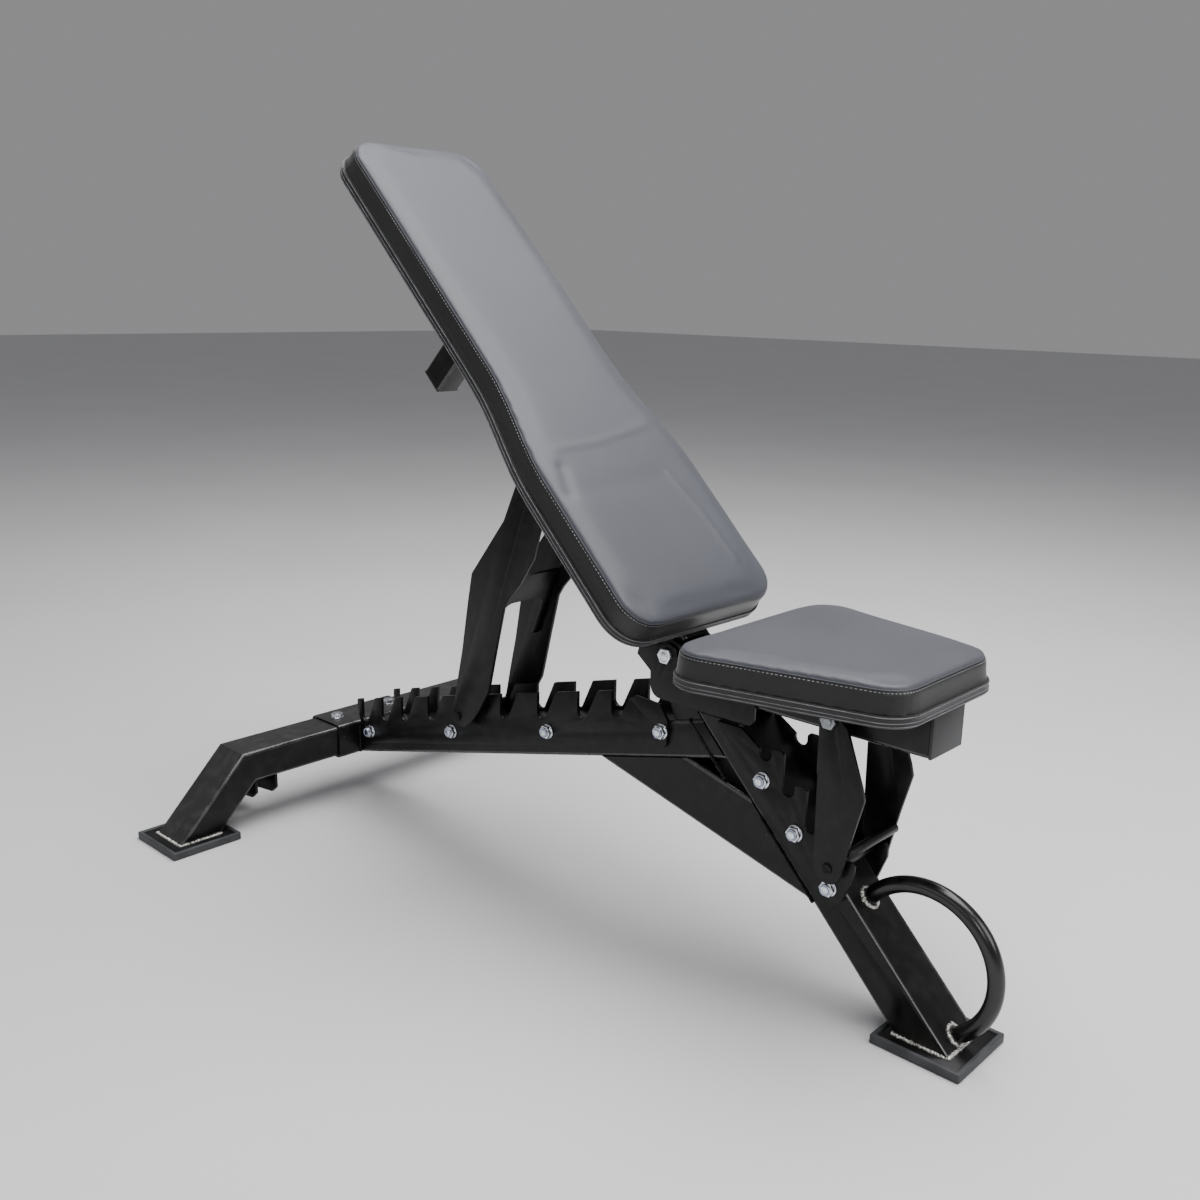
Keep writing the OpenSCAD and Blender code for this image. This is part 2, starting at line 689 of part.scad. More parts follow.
module lift_post() {
    post_len = post_end + back_offset - back_tube;
    bore_w = post_w - 2 * tube_wall;
    color(steel) back_frame() translate([-post_u, 0, post_len / 2 - post_end]) difference() {
        cube([post_w, post_w, post_len], center = true);
        cube([bore_w, bore_w, post_len + 2], center = true);
    }
}
module back_tube_caps() {
    cap_t = 3;
    color(plastic) back_frame() {
        translate([-back_tube_len - cap_t, -back_tube / 2, back_offset - back_tube])
            cube([cap_t, back_tube, back_tube]);
        translate([-post_u, 0, -post_end - cap_t / 2]) cube([post_w, post_w, cap_t], center = true);
    }
}

// Outline of the back pad, inset by d: x is the distance from the pivot along the back
back_u0 = 7;
back_corner = 50;
function s_curve(x0, y0, x1, y1, n = 8) =
    [for (i = [0 : n]) let (t = i / n) [x0 + (x1 - x0) * t, y0 + (y1 - y0) * (1 - cos(180 * t)) / 2]];
function back_half_outline(d) =
    let (w0 = back_half - d, w1 = back_half_top - d, r = back_corner - d)
    let (a = back_u0 + d, b = back_u0 + back_len - d)
    concat(arc([a + r, w0 - r], r, 180, 90, 6),
        s_curve(back_u0 + 0.27 * back_len, w0, back_u0 + 0.5 * back_len, w1),
        arc([b - r, w1 - r], r, 90, 0, 6));
module back_slab(d, n0, n1) {
    back_frame() translate([0, 0, n0]) mirror([1, 0, 0]) linear_extrude(n1 - n0)
        polygon(mirror_outline(back_half_outline(d)));
}
module back_board() {
    color(plywood) back_slab(board_inset, back_offset, back_offset + board_t);
}
module back_pad() {
    color(vinyl) back_slab(0, back_offset + board_t, back_offset + pad_t);
}
screw_head_h = 3;
module back_screws() {
    color(zinc) back_frame() for (u = [90, back_tube_len - 80], side = [-1, 1])
        translate([-u, side * (wing_reach - 15), back_offset - plate_t]) pad_screw();
}
// A screw whose head lies under z = 0 and whose shank goes up through a plate
module pad_screw() {
    translate([0, 0, -screw_head_h]) cylinder(r = 1.8 * screw_r, h = screw_head_h);
    translate([0, 0, -screw_head_h]) cylinder(r = screw_r, h = plate_t + screw_head_h);
}

// ---- Back strut ----

// Distances along the strut from its foot pin, and to its rear side (b > 0) or its front side (b < 0)
strut_foot_r = 13;
strut_head_r = 22;
kink_a = 0.56 * strut_len;
module back_strut_plate(side) {
    rear = [[6, strut_foot_r], [52, 21], [102, 29], [kink_a - 40, 46], [kink_a, 53.5]];
    head = [[strut_len - 70, 23], [strut_len - 12, strut_head_r - 2]];
    front = [[strut_len - 46, -45], [strut_len - 90, -49], [kink_a + 37, -39], [kink_a + 8, -28],
        [kink_a - 10, -24], [kink_a - 70, -32], [77, -43], [35, -36], [9, -28], [-6, -20]];
    outline = concat(arc([0, 0], strut_foot_r, 180, 90, 6), rear, head,
        arc([strut_len, 0], strut_head_r, 100, -100, 8), front);
    side_plate(side, strut_in, strut_out) difference() {
        polygon([for (p = outline) on_strut(p[0], p[1])]);
        at(strut_hinge) circle(r = hinge_r + run_gap);
    }
}
module back_strut_left() {
    color(steel) back_strut_plate(-1);
}
module back_strut_right() {
    color(steel) back_strut_plate(1);
}
// A plate across the strut, with an arch that straddles the ladder
brace_b = -8;
brace_low = 138;
brace_high = 250;
arch_top = 205;
arch_half = ladder_out + 2;
module back_strut_brace() {
    r = 20;
    tilt = atan2(strut_dir[0], strut_dir[1]);
    foot = on_strut(0, brace_b);
    color(steel) translate([foot[0], 0, foot[1]]) rotate([0, tilt, 0])
        translate([plate_t / 2, 0, 0]) rotate([90, 0, -90]) linear_extrude(plate_t)
        polygon(concat([[strut_in, brace_low], [strut_in, brace_high], [-strut_in, brace_high]],
            [[-strut_in, brace_low], [-arch_half, brace_low]],
            arc([-arch_half + r, arch_top - r], r, 180, 90, 6),
            arc([arch_half - r, arch_top - r], r, 90, 0, 6), [[arch_half, brace_low]]));
}
module hinge_bolt(p) {
    cross_bar(p, hinge_r, -strut_out - 1.3 * hinge_head - 2, strut_out + 1);
    hex_bar(p, hinge_af, strut_out, strut_out + hinge_head);
    hex_bar(p, hinge_af, -strut_out - 1.3 * hinge_head, -strut_out);
}
module back_strut_bolt() {
    color(zinc) hinge_bolt(strut_hinge);
}
// Plug welds that close the strut plates over the locking pin's ends
module plug_welds(p) {
    weld_h = 2;
    for (y = [strut_out, -strut_out - weld_h]) cross_bar(p, 0.75 * pin_r, y, y + weld_h);
}
module back_strut_welds() {
    color(steel) plug_welds(strut_foot);
}

// ---- Seat ----

seat_tube_rear = pivot_x - 88;
seat_tube_front = seat_front + 9;
module seat_frame_tube() {
    length = seat_tube_rear - seat_tube_front;
    color(steel) difference() {
        translate([-seat_tube_rear, -tube_w / 2, seat_z - tube_h]) cube([length, tube_w, tube_h]);
        translate([-seat_tube_rear - 1, -tube_w / 2 + tube_wall, seat_z - tube_h + tube_wall])
            cube([length + 2, tube_w - 2 * tube_wall, tube_h - 2 * tube_wall]);
        cross_hole(seat_hinge, hinge_sleeve_r, tube_w);
    }
}
side_low = pivot_z - 60;
side_top = seat_z - plate_t - 1;
side_r = 16;
// The plates' top edge dips behind the seat pad, so that the raised back clears it
side_dip = 10;
module seat_side_outline() {
    front_x = -seat_tube_rear + 50;
    r = 8;
    difference() {
        polygon(concat([[front_x, side_top], [front_x, side_low + r]],
            arc([front_x - r, side_low + r], r, 0, -90, 4),
            arc(pivot + [-10, -44], side_r, -90, -180, 6),
            [pivot + [-27, -26], pivot + [-50, -8], pivot + [-46, 6]],
            arc(pivot, side_r, 130, 0, 6), [pivot + [24, -side_dip]],
            [[-seat_tube_rear - 4, pivot[1] - side_dip], [-seat_tube_rear + 3, side_top]]));
        at(pivot) circle(r = hinge_r + run_gap);
    }
}
module seat_side_left() {
    color(steel) side_plate(-1, ladder_in, ladder_out) seat_side_outline();
}
module seat_side_right() {
    color(steel) side_plate(1, ladder_in, ladder_out) seat_side_outline();
}
seat_wing_x = [seat_tube_rear - 62, seat_front + 50];
seat_wing_reach = 95;
module seat_pad_wings() {
    color(steel) for (x = seat_wing_x, side = [-1, 1]) difference() {
        translate([-x - wing_w / 2, side > 0 ? tube_w / 2 : -seat_wing_reach, seat_z - plate_t])
            cube([wing_w, seat_wing_reach - tube_w / 2, plate_t]);
        translate([-x, side * (seat_wing_reach - 15), seat_z - 2 * plate_t])
            cylinder(r = screw_r + bolt_play, h = 3 * plate_t);
    }
}
module seat_screws() {
    color(zinc) for (x = seat_wing_x, side = [-1, 1])
        translate([-x, side * (seat_wing_reach - 15), seat_z - plate_t]) pad_screw();
}
module seat_strut_sleeve() {
    color(steel) sleeve(seat_hinge, pin_half);
}
module seat_tube_cap() {
    cap_t = 4;
    color(plastic) translate([-seat_tube_front, -tube_w / 2, seat_z - tube_h]) cube([cap_t, tube_w, tube_h]);
}
seat_corner = 45;
function seat_outline(d) =
    let (x0 = -seat_front - seat_len + d, x1 = -seat_front - d, w0 = seat_half - d, w1 = seat_half_front - d,
         r = seat_corner - d, taper = atan2(w0 - w1, x1 - x0 - 2 * r))
    concat(arc([x0 + r, w0 - r], r, 180, 90 - taper, 6), arc([x1 - r, w1 - r], r, 90 - taper, 0, 6));
module seat_slab(d, z0, z1) {
    translate([0, 0, z0]) linear_extrude(z1 - z0) polygon(mirror_outline(seat_outline(d)));
}
module seat_board() {
    color(plywood) seat_slab(board_inset, seat_z, seat_z + board_t);
}
// A block that bevels the pad's top at the edge that is at x
module edge_cut(x) {
    translate([x, 0, seat_z + pad_t]) rotate([0, 45, 0])
        cube([pad_edge * sqrt(2), 2 * seat_half, pad_edge * sqrt(2)], center = true);
}
module seat_pad() {
    color(vinyl) difference() {
        seat_slab(0, seat_z + board_t, seat_z + pad_t);
        edge_cut(-seat_front);
        edge_cut(-seat_front - seat_len);
    }
}

// ---- Seat strut ----

seat_foot_r = 19;
seat_head_r = 15;
module seat_strut_plate(side) {
    outline = concat(arc([0, 0], seat_foot_r, 270, 90, 6), [[seat_strut_len - 50, seat_head_r]],
        arc([seat_strut_len, 0], seat_head_r, 90, -90, 6), [[seat_strut_len - 6, -22]],
        [[0.6 * seat_strut_len, -43], [0.52 * seat_strut_len, -46], [44, -31]]);
    side_plate(side, strut_in, strut_out) difference() {
        polygon([for (p = outline) on_seat_strut(p[0], p[1])]);
        at(seat_hinge) circle(r = hinge_r + run_gap);
    }
}
module seat_strut_left() {
    color(steel) seat_strut_plate(-1);
}
module seat_strut_right() {
    color(steel) seat_strut_plate(1);
}
module seat_strut_rod() {
    color(steel) cross_bar(on_seat_strut(24, -25), 6, -strut_in, strut_in);
}
module seat_strut_bolt() {
    color(zinc) hinge_bolt(seat_hinge);
}
module seat_strut_welds() {
    color(steel) plug_welds(seat_foot);
}

rear_sleeve();
rear_leg_left();
rear_leg_right();
spine_tube();
front_leg();
diagonal_tube();
foot_plates();
front_shoe();
rear_shoe_left();
rear_shoe_right();
lift_handle();
back_ladder_left();
back_ladder_right();
seat_ladder_left();
seat_ladder_right();
pivot_bracket_left();
pivot_bracket_right();
frame_bolts();
frame_nuts();
frame_washers();
sleeve_bolts();
pivot_bolt();
pivot_nut();
back_lock_pin();
seat_lock_pin();
wheel_fork_left();
wheel_fork_right();
wheel_bolts();
wheel_left();
wheel_right();
back_frame_tube();
back_pivot_sleeve();
back_pad_wings();
back_strut_lugs();
back_strut_sleeve();
lift_post();
back_tube_caps();
back_board();
back_pad();
back_screws();
back_strut_left();
back_strut_right();
back_strut_brace();
back_strut_bolt();
back_strut_welds();
seat_frame_tube();
seat_side_left();
seat_side_right();
seat_pad_wings();
seat_strut_sleeve();
seat_tube_cap();
seat_board();
seat_pad();
seat_screws();
seat_strut_left();
seat_strut_right();
seat_strut_rod();
seat_strut_bolt();
seat_strut_welds();
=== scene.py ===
"""Looks of the adjustable weight bench: upholstered pads, softened steel, welds, fasteners and studio."""

import json
import logging
import math
import random
from dataclasses import dataclass, field
from enum import Enum
from typing import Callable, Iterable, Sequence

import bmesh
import bpy
import numpy as np
from mathutils import Matrix, Vector
from mathutils.bvhtree import BVHTree

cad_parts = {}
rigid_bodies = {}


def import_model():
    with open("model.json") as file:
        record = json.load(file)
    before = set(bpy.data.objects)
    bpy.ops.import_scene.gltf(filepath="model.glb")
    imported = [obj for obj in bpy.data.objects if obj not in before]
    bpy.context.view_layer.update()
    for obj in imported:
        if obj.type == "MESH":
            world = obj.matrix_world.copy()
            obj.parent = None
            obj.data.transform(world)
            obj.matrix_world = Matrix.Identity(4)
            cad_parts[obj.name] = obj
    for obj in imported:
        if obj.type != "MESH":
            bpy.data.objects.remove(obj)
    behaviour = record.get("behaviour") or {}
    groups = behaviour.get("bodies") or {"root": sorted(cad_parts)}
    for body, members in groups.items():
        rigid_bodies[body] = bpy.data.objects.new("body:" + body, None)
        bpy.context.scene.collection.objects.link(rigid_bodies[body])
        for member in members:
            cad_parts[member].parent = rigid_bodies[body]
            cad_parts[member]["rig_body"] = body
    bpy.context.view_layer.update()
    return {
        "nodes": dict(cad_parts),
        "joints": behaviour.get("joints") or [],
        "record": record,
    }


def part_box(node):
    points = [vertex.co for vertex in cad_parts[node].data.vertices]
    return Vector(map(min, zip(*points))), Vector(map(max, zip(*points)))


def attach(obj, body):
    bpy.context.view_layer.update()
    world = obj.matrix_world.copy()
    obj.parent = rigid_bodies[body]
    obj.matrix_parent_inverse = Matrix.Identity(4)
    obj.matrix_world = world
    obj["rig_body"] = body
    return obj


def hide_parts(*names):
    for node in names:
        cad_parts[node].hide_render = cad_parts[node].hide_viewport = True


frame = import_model()
LOG = logging.getLogger("weight_bench")

Colour = tuple[float, float, float]
Pair = tuple[float, float]
MM = 0.001
PIVOT = Vector(next(j["pos_m"] for j in frame["joints"] if j["name"] == "back_recline"))
RECLINE = math.radians(45)
LEG_SLOPE = math.radians(46)
SPINE_SLOPE = math.radians(14.86)
DIAGONAL_SLOPE = math.radians(14)
BACK_PLACE = Matrix.Translation(PIVOT) @ Matrix.Rotation(RECLINE, 4, "Y")


class Slot(Enum):
    """Material slots of the record."""

    STEEL = "steel"
    ZINC = "zinc"
    RUBBER = "rubber"
    VINYL = "vinyl"
    PLASTIC = "plastic"


# ---- Shader nodes ----


class Sock:
    """A node's output, on which Python's operators add Math nodes."""

    def __init__(self, graph: "Graph", out: bpy.types.NodeSocket) -> None:
        """Wraps one output.

        Args:
            graph: the node graph that holds the output.
            out: the output itself.
        """
        self.graph = graph
        self.out = out

    def _math(self, operation: str, first: object, second: object = 0.0) -> "Sock":
        """Adds one Math node and returns its output."""
        return self.graph.add("ShaderNodeMath", {"operation": operation}, {0: first, 1: second})

    def __add__(self, other: object) -> "Sock":
        """Sum."""
        return self._math("ADD", self, other)

    __radd__ = __add__

    def __sub__(self, other: object) -> "Sock":
        """Difference."""
        return self._math("SUBTRACT", self, other)

    def __rsub__(self, other: object) -> "Sock":
        """Difference the other way round."""
        return self._math("SUBTRACT", other, self)

    def __mul__(self, other: object) -> "Sock":
        """Product."""
        return self._math("MULTIPLY", self, other)

    __rmul__ = __mul__

    def __pow__(self, other: object) -> "Sock":
        """Power."""
        return self._math("POWER", self, other)

    def rise(self, low: float, high: float) -> "Sock":
        """A smooth step.

        Args:
            low: value up to which the step is 0.
            high: value from which the step is 1.

        Returns:
            The step, from 0 to 1.
        """
        return self.graph.add(
            "ShaderNodeMapRange",
            {"interpolation_type": "SMOOTHSTEP"},
            {"Value": self, "From Min": low, "From Max": high},
        )


class Graph:
    """The node graph of one material."""

    def __init__(self, name: str) -> None:
        """Makes an empty material.

        Args:
            name: the material's name.
        """
        self.material = bpy.data.materials.new(name)
        self.material.use_nodes = True
        self.tree = self.material.node_tree
        self.tree.nodes.clear()
        self.where = self.add("ShaderNodeTexCoord", output="Object")

    def add(
        self,
        kind: str,
        settings: dict[str, object] | None = None,
        inputs: dict[object, object] | None = None,
        output: object = 0,
    ) -> Sock:
        """Adds one node.

        Args:
            kind: the node's type.
            settings: values of its own properties, which are set first.
            inputs: a value or a Sock for each input, by name or number.
            output: name or number of the output that is returned.

        Returns:
            The chosen output.
        """
        node = self.tree.nodes.new(kind)
        for key, value in (settings or {}).items():
            setattr(node, key, value)
        for key, value in (inputs or {}).items():
            if isinstance(value, Sock):
                self.tree.links.new(value.out, node.inputs[key])
            else:
                node.inputs[key].default_value = value
        return Sock(self, node.outputs[output])

    def noise(self, scale: float, detail: float = 2.0, vector: Sock | None = None) -> Sock:
        """A noise field from 0 to 1, scale cells to the metre."""
        return self.add(
            "ShaderNodeTexNoise", None, {"Vector": vector or self.where, "Scale": scale, "Detail": detail}
        )

    def cells(self, scale: float, feature: str = "F1") -> Sock:
        """Distances in a cell pattern, scale cells to the metre."""
        return self.add(
            "ShaderNodeTexVoronoi", {"feature": feature}, {"Vector": self.where, "Scale": scale}, "Distance"
        )

    def blend(self, share: Sock, first: object, second: object) -> Sock:
        """A colour between two.

        Args:
            share: 0 for the first colour and 1 for the second.
            first: a colour or a Sock.
            second: a colour or a Sock.

        Returns:
            The mixed colour.
        """
        ends = [c if isinstance(c, Sock) else (*c, 1.0) for c in (first, second)]
        return self.add(
            "ShaderNodeMix",
            {"data_type": "RGBA"},
            {"Factor": share, 6: ends[0], 7: ends[1]},
            2,
        )

    def bump(self, height: Sock, depth: float, strength: float = 1.0) -> Sock:
        """A normal from a height field of that depth in metres."""
        return self.add(
            "ShaderNodeBump", None, {"Height": height, "Distance": depth, "Strength": strength}
        )

    def finish(self, **sockets: object) -> bpy.types.Material:
        """Adds the shader and the output.

        Args:
            **sockets: inputs of the shader, with _ for each space in a name.

        Returns:
            The finished material.
        """
        values = {name.replace("_", " "): value for name, value in sockets.items()}
        shader = self.add("ShaderNodeBsdfPrincipled", None, values)
        self.add_output(shader)
        return self.material

    def add_output(self, shader: Sock) -> None:
        """Links the shader to a material output."""
        output = self.tree.nodes.new("ShaderNodeOutputMaterial")
        self.tree.links.new(shader.out, output.inputs["Surface"])


# ---- Finishes ----


@dataclass(frozen=True)
class PowderCoat:
    """Satin black powder coat: orange peel, a faintly cloudy sheen and specks of dust."""

    name: str = "powder_coat"
    colour: Colour = (0.0026, 0.0026, 0.0028)
    dust: Colour = (0.20, 0.20, 0.19)
    roughness: float = 0.36
    specular: float = 0.27
    # Share of lighter scuffs: random wear on the plain coat, and painted highlight and painted sheen in the
    # edge and top copies, which set it higher.
    wear_and_sheen: float = 0.12

    def make(self) -> bpy.types.Material:
        """Builds the material."""
        g = Graph(self.name)
        cloud = g.noise(14, 4)
        # Lighter scuffs: random wear, and painted highlight and painted sheen where the share is raised.
        scuff_and_sheen = g.noise(55, 5).rise(0.42, 0.70) * self.wear_and_sheen
        speck = (1 - g.cells(42).rise(0.018, 0.032)) * g.noise(19).rise(0.52, 0.56)
        base = g.blend(cloud.rise(0.35, 0.75) * 0.25, self.colour, tuple(2.2 * c for c in self.colour))
        base = g.blend(scuff_and_sheen, base, (0.050, 0.049, 0.047))
        base = g.blend(speck, base, self.dust)
        peel = g.noise(900, 2)
        return g.finish(
            Base_Color=base,
            Roughness=cloud * 0.07 + (self.roughness - 0.035) + scuff_and_sheen * 0.2,
            Normal=g.bump(peel + speck * 0.8, 0.05 * MM, 0.7),
            Specular_IOR_Level=self.specular,
        )


@dataclass(frozen=True)
class PadVinyl:
    """Fine-grained vinyl with grain and soft mottling: a graphite top panel, lighter as painted light from
    above, over a blacker side band in painted shade.
    """

    name: str
    normal: tuple[float, float, float]
    seam: float
    # Painted light: the panel colour is the lit top of the vinyl, the band colour the same vinyl in painted
    # shade on the sides.
    panel: Colour = (0.041, 0.043, 0.054)
    band: Colour = (0.0035, 0.0035, 0.0038)
    roughness: float = 0.38

    def make(self) -> bpy.types.Material:
        """Builds the material, whose lighter, painted-lit panel lies above the seam along the pad's normal
        and whose band below it is in painted shade.
        """
        g = Graph(self.name)
        height = g.add(
            "ShaderNodeVectorMath", {"operation": "DOT_PRODUCT"}, {0: g.where, 1: self.normal}, "Value"
        )
        # Painted light and shade: the lit panel colour above the seam, the shaded band colour below it.
        top = height.rise(self.seam - 0.3 * MM, self.seam + 0.3 * MM)
        mottle = g.noise(7, 3)
        grain = g.cells(1150, "DISTANCE_TO_EDGE")
        pores = g.noise(2400, 1)
        panel = g.blend(mottle.rise(0.3, 0.7), self.panel, tuple(1.16 * c for c in self.panel))
        band = g.blend(mottle.rise(0.3, 0.8), self.band, tuple(1.7 * c for c in self.band))
        relief = grain.rise(0.0, 0.16) + pores * 0.35 + mottle * 2.0
        return g.finish(
            Base_Color=g.blend(top, band, panel),
            Roughness=top * 0.07 + (self.roughness - 0.06) + mottle * 0.10,
            Normal=g.bump(relief, 0.055 * MM, 0.8),
            Sheen_Weight=0.10,
            Sheen_Roughness=0.45,
            Specular_IOR_Level=0.5,
        )


@dataclass(frozen=True)
class Grained:
    """A plain moulded or woven finish: cloudy colour over one grain."""

    name: str
    colour: Colour
    roughness: float
    grain: float
    depth: float
    metallic: float = 0.0
    cloud: float = 30.0
    spread: float = 0.35

    def make(self) -> bpy.types.Material:
        """Builds the material."""
        g = Graph(self.name)
        cloud = g.noise(self.cloud, 4)
        shade = g.blend(
            cloud.rise(0.3, 0.7),
            tuple((1 - self.spread) * c for c in self.colour),
            tuple(min(1.0, (1 + self.spread) * c) for c in self.colour),
        )
        return g.finish(
            Base_Color=shade,
            Metallic=self.metallic,
            Roughness=cloud * 0.2 + (self.roughness - 0.1),
            Normal=g.bump(g.noise(self.grain, 3), self.depth, 0.8),
        )


class Finishes:
    """The bench's materials, each made once."""

    def __init__(self) -> None:
        """Makes every material that more than one piece shares."""
        self.coat = PowderCoat().make()
        # Painted highlight: a lighter, glossier copy of the coat for the tubes' rounded corners, standing in
        # for the light caught along their bevels.
        self.edge_highlight_coat = PowderCoat(
            "edge_highlight_coat", (0.009, 0.009, 0.0092), roughness=0.26, specular=0.9, wear_and_sheen=0.5
        ).make()
        # Painted sheen: a lighter copy of the coat for the upward faces of the rear legs and sleeve, standing
        # in for the overhead light that they reflect.
        self.top_sheen_coat = PowderCoat(
            "top_sheen_coat", (0.0105, 0.0103, 0.0098), roughness=0.45, specular=0.6, wear_and_sheen=0.3
        ).make()
        self.bar_coat = PowderCoat("bar_coat", roughness=0.24, specular=0.55).make()
        self.zinc = Grained("zinc_plate", (0.74, 0.76, 0.80), 0.24, 1500, 0.02 * MM, 1.0, 120, 0.10).make()
        self.rubber = Grained("shoe_rubber", (0.032, 0.033, 0.036), 0.62, 1300, 0.10 * MM).make()
        self.dull_zinc = Grained(
            "hinge_bolt_zinc", (0.27, 0.28, 0.29), 0.34, 1500, 0.02 * MM, 1.0, 120, 0.2
        ).make()
        self.plastic = Grained("black_plastic", (0.016, 0.016, 0.017), 0.50, 1700, 0.05 * MM).make()
        self.nylon = Grained("nylon", (0.42, 0.48, 0.62), 0.40, 900, 0.03 * MM, 0.0, 200, 0.15).make()
        self.thread = Grained("stitch_thread", (0.23, 0.23, 0.24), 0.62, 3500, 0.10 * MM).make()
        # Edge cords: a dark grey that is partly the ribbed trim's own colour and partly painted highlight for
        # the light on its glossy ridges.
        self.cord = Grained("edge_cord", (0.105, 0.105, 0.11), 0.30, 1600, 0.03 * MM, 0.0, 60, 0.25).make()
        self.cloth = Grained("dust_cloth", (0.014, 0.014, 0.015), 0.85, 2200, 0.12 * MM).make()
        self.bare_weld = Grained("bare_weld", (0.46, 0.45, 0.42), 0.38, 420, 0.5 * MM, 0.75, 260, 0.55).make()


# ---- Modelling helpers ----


def clear_selection() -> None:
    """Leaves nothing selected and nothing active."""
    if bpy.context.mode != "OBJECT":
        bpy.ops.object.mode_set(mode="OBJECT")
    bpy.ops.object.select_all(action="DESELECT")
    bpy.context.view_layer.objects.active = None


def pick(*pieces: bpy.types.Object) -> None:
    """Selects these pieces alone and makes the first one active."""
    clear_selection()
    for piece in pieces:
        piece.select_set(True)
    bpy.context.view_layer.objects.active = pieces[0]


def edit(piece: bpy.types.Object) -> None:
    """Opens a piece for editing with nothing selected in it."""
    pick(piece)
    bpy.ops.object.mode_set(mode="EDIT")
    bpy.ops.mesh.select_mode(type="EDGE")
    bpy.ops.mesh.select_all(action="DESELECT")


def select_edges(piece: bpy.types.Object, wanted: Callable[[bmesh.types.BMEdge], bool]) -> int:
    """Selects edges of the piece being edited.

    Args:
        piece: the piece.
        wanted: tells whether an edge is taken.

    Returns:
        The number of edges selected.
    """
    mesh = bmesh.from_edit_mesh(piece.data)
    taken = [edge for edge in mesh.edges if wanted(edge)]
    for edge in taken:
        edge.select_set(True)
    bmesh.update_edit_mesh(piece.data)
    return len(taken)


def apply_modifier(piece: bpy.types.Object, kind: str, **settings: object) -> None:
    """Adds a modifier with these settings and applies it."""
    pick(piece)
    modifier = piece.modifiers.new(kind.title(), kind)
    for key, value in settings.items():
        setattr(modifier, key, value)
    bpy.ops.object.modifier_apply(modifier=modifier.name)


def settle(piece: bpy.types.Object, place: Matrix | None = None) -> None:
    """Moves a piece by a matrix and brings its place into its mesh."""
    if place is not None:
        piece.matrix_world = place @ piece.matrix_world
    pick(piece)
    bpy.ops.object.transform_apply(location=True, rotation=True, scale=True)


def join(name: str, pieces: Sequence[bpy.types.Object]) -> bpy.types.Object:
    """Joins pieces into one with this name, and returns it."""
    pick(*pieces)
    if len(pieces) > 1:
        bpy.ops.object.join()
    joined = bpy.context.view_layer.objects.active
    joined.name = name
    settle(joined)
    return joined


def copy_piece(piece: bpy.types.Object, place: Matrix) -> bpy.types.Object:
    """A copy of a piece with its own mesh, at that place."""
    copied = bpy.data.objects.new(piece.name + "_copy", piece.data.copy())
    bpy.context.scene.collection.objects.link(copied)
    copied.matrix_world = place
    return copied


def smooth(piece: bpy.types.Object, angle: float = 32.0) -> None:
    """Shades a piece smoothly across edges flatter than the angle, in degrees."""
    pick(piece)
    bpy.ops.object.shade_smooth_by_angle(angle=math.radians(angle))


def dress(
    piece: bpy.types.Object, body: str, slot: Slot, finish: bpy.types.Material, *stands_for: str
) -> bpy.types.Object:
    """Gives a finished piece its material and its body.

    Args:
        piece: the piece, in place.
        body: the CAD body that it rides on.
        slot: the record's slot of its finish; not used.
        finish: its material.
        *stands_for: CAD nodes that it replaces.

    Returns:
        The piece.
    """
    piece.data.materials.clear()
    piece.data.materials.append(finish)
    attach(piece, body)
    if stands_for:
        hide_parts(*stands_for)
    LOG.info("%s rides on %s: %d faces", piece.name, body, len(piece.data.polygons))
    return piece


def tube_along(
    name: str, points: Sequence[Vector], radius: float, closed: bool, sides: int = 2
) -> bpy.types.Object:
    """A thin round cord along points, as a mesh.

    Args:
        name: the piece's name.
        points: the points of its middle line.
        radius: its radius in metres.
        closed: whether its end meets its start.
        sides: resolution of its section.

    Returns:
        The cord.
    """
    clear_selection()
    line = bpy.data.curves.new(name, "CURVE")
    line.dimensions = "3D"
    line.bevel_depth = radius
    line.bevel_resolution = sides
    line.use_fill_caps = not closed
    spline = line.splines.new("POLY")
    spline.points.add(len(points) - 1)
    for point, place in zip(spline.points, points):
        point.co = (*place, 1.0)
    spline.use_cyclic_u = closed
    piece = bpy.data.objects.new(name, line)
    bpy.context.scene.collection.objects.link(piece)
    pick(piece)
    bpy.ops.object.convert(target="MESH")
    smooth(piece, 60)
    return piece


def arc(middle: Pair, radius: float, start: float, stop: float, steps: int = 8) -> list[Pair]:
    """Points of an arc, with its angles in degrees."""
    angles = [math.radians(start + (stop - start) * i / steps) for i in range(steps + 1)]
    return [(middle[0] + radius * math.cos(a), middle[1] + radius * math.sin(a)) for a in angles]


def mirrored(half: Sequence[Pair]) -> list[Pair]:
    """Half an outline and its mirror image across the X axis."""
    return [*half, *[(x, -y) for x, y in reversed(half)]]


def even_steps(outline: Sequence[Pair], pitch: float) -> list[Pair]:
    """Evenly spaced points round a closed outline.

    Args:
        outline: its corners.
        pitch: the spacing wanted, which is fitted to the outline's length.

    Returns:
        The points.
    """
    loop = [Vector(p) for p in outline] + [Vector(outline[0])]
    ends = [0.0]
    for a, b in zip(loop, loop[1:]):
        ends.append(ends[-1] + (b - a).length)
    count = round(ends[-1] / pitch)
    found, k = [], 0
    for i in range(count):
        at = ends[-1] * i / count
        while ends[k + 1] < at:
            k += 1
        share = (at - ends[k]) / max(ends[k + 1] - ends[k], 1e-9)
        found.append(tuple(loop[k].lerp(loop[k + 1], share)))
    return found


# ---- Pads ----


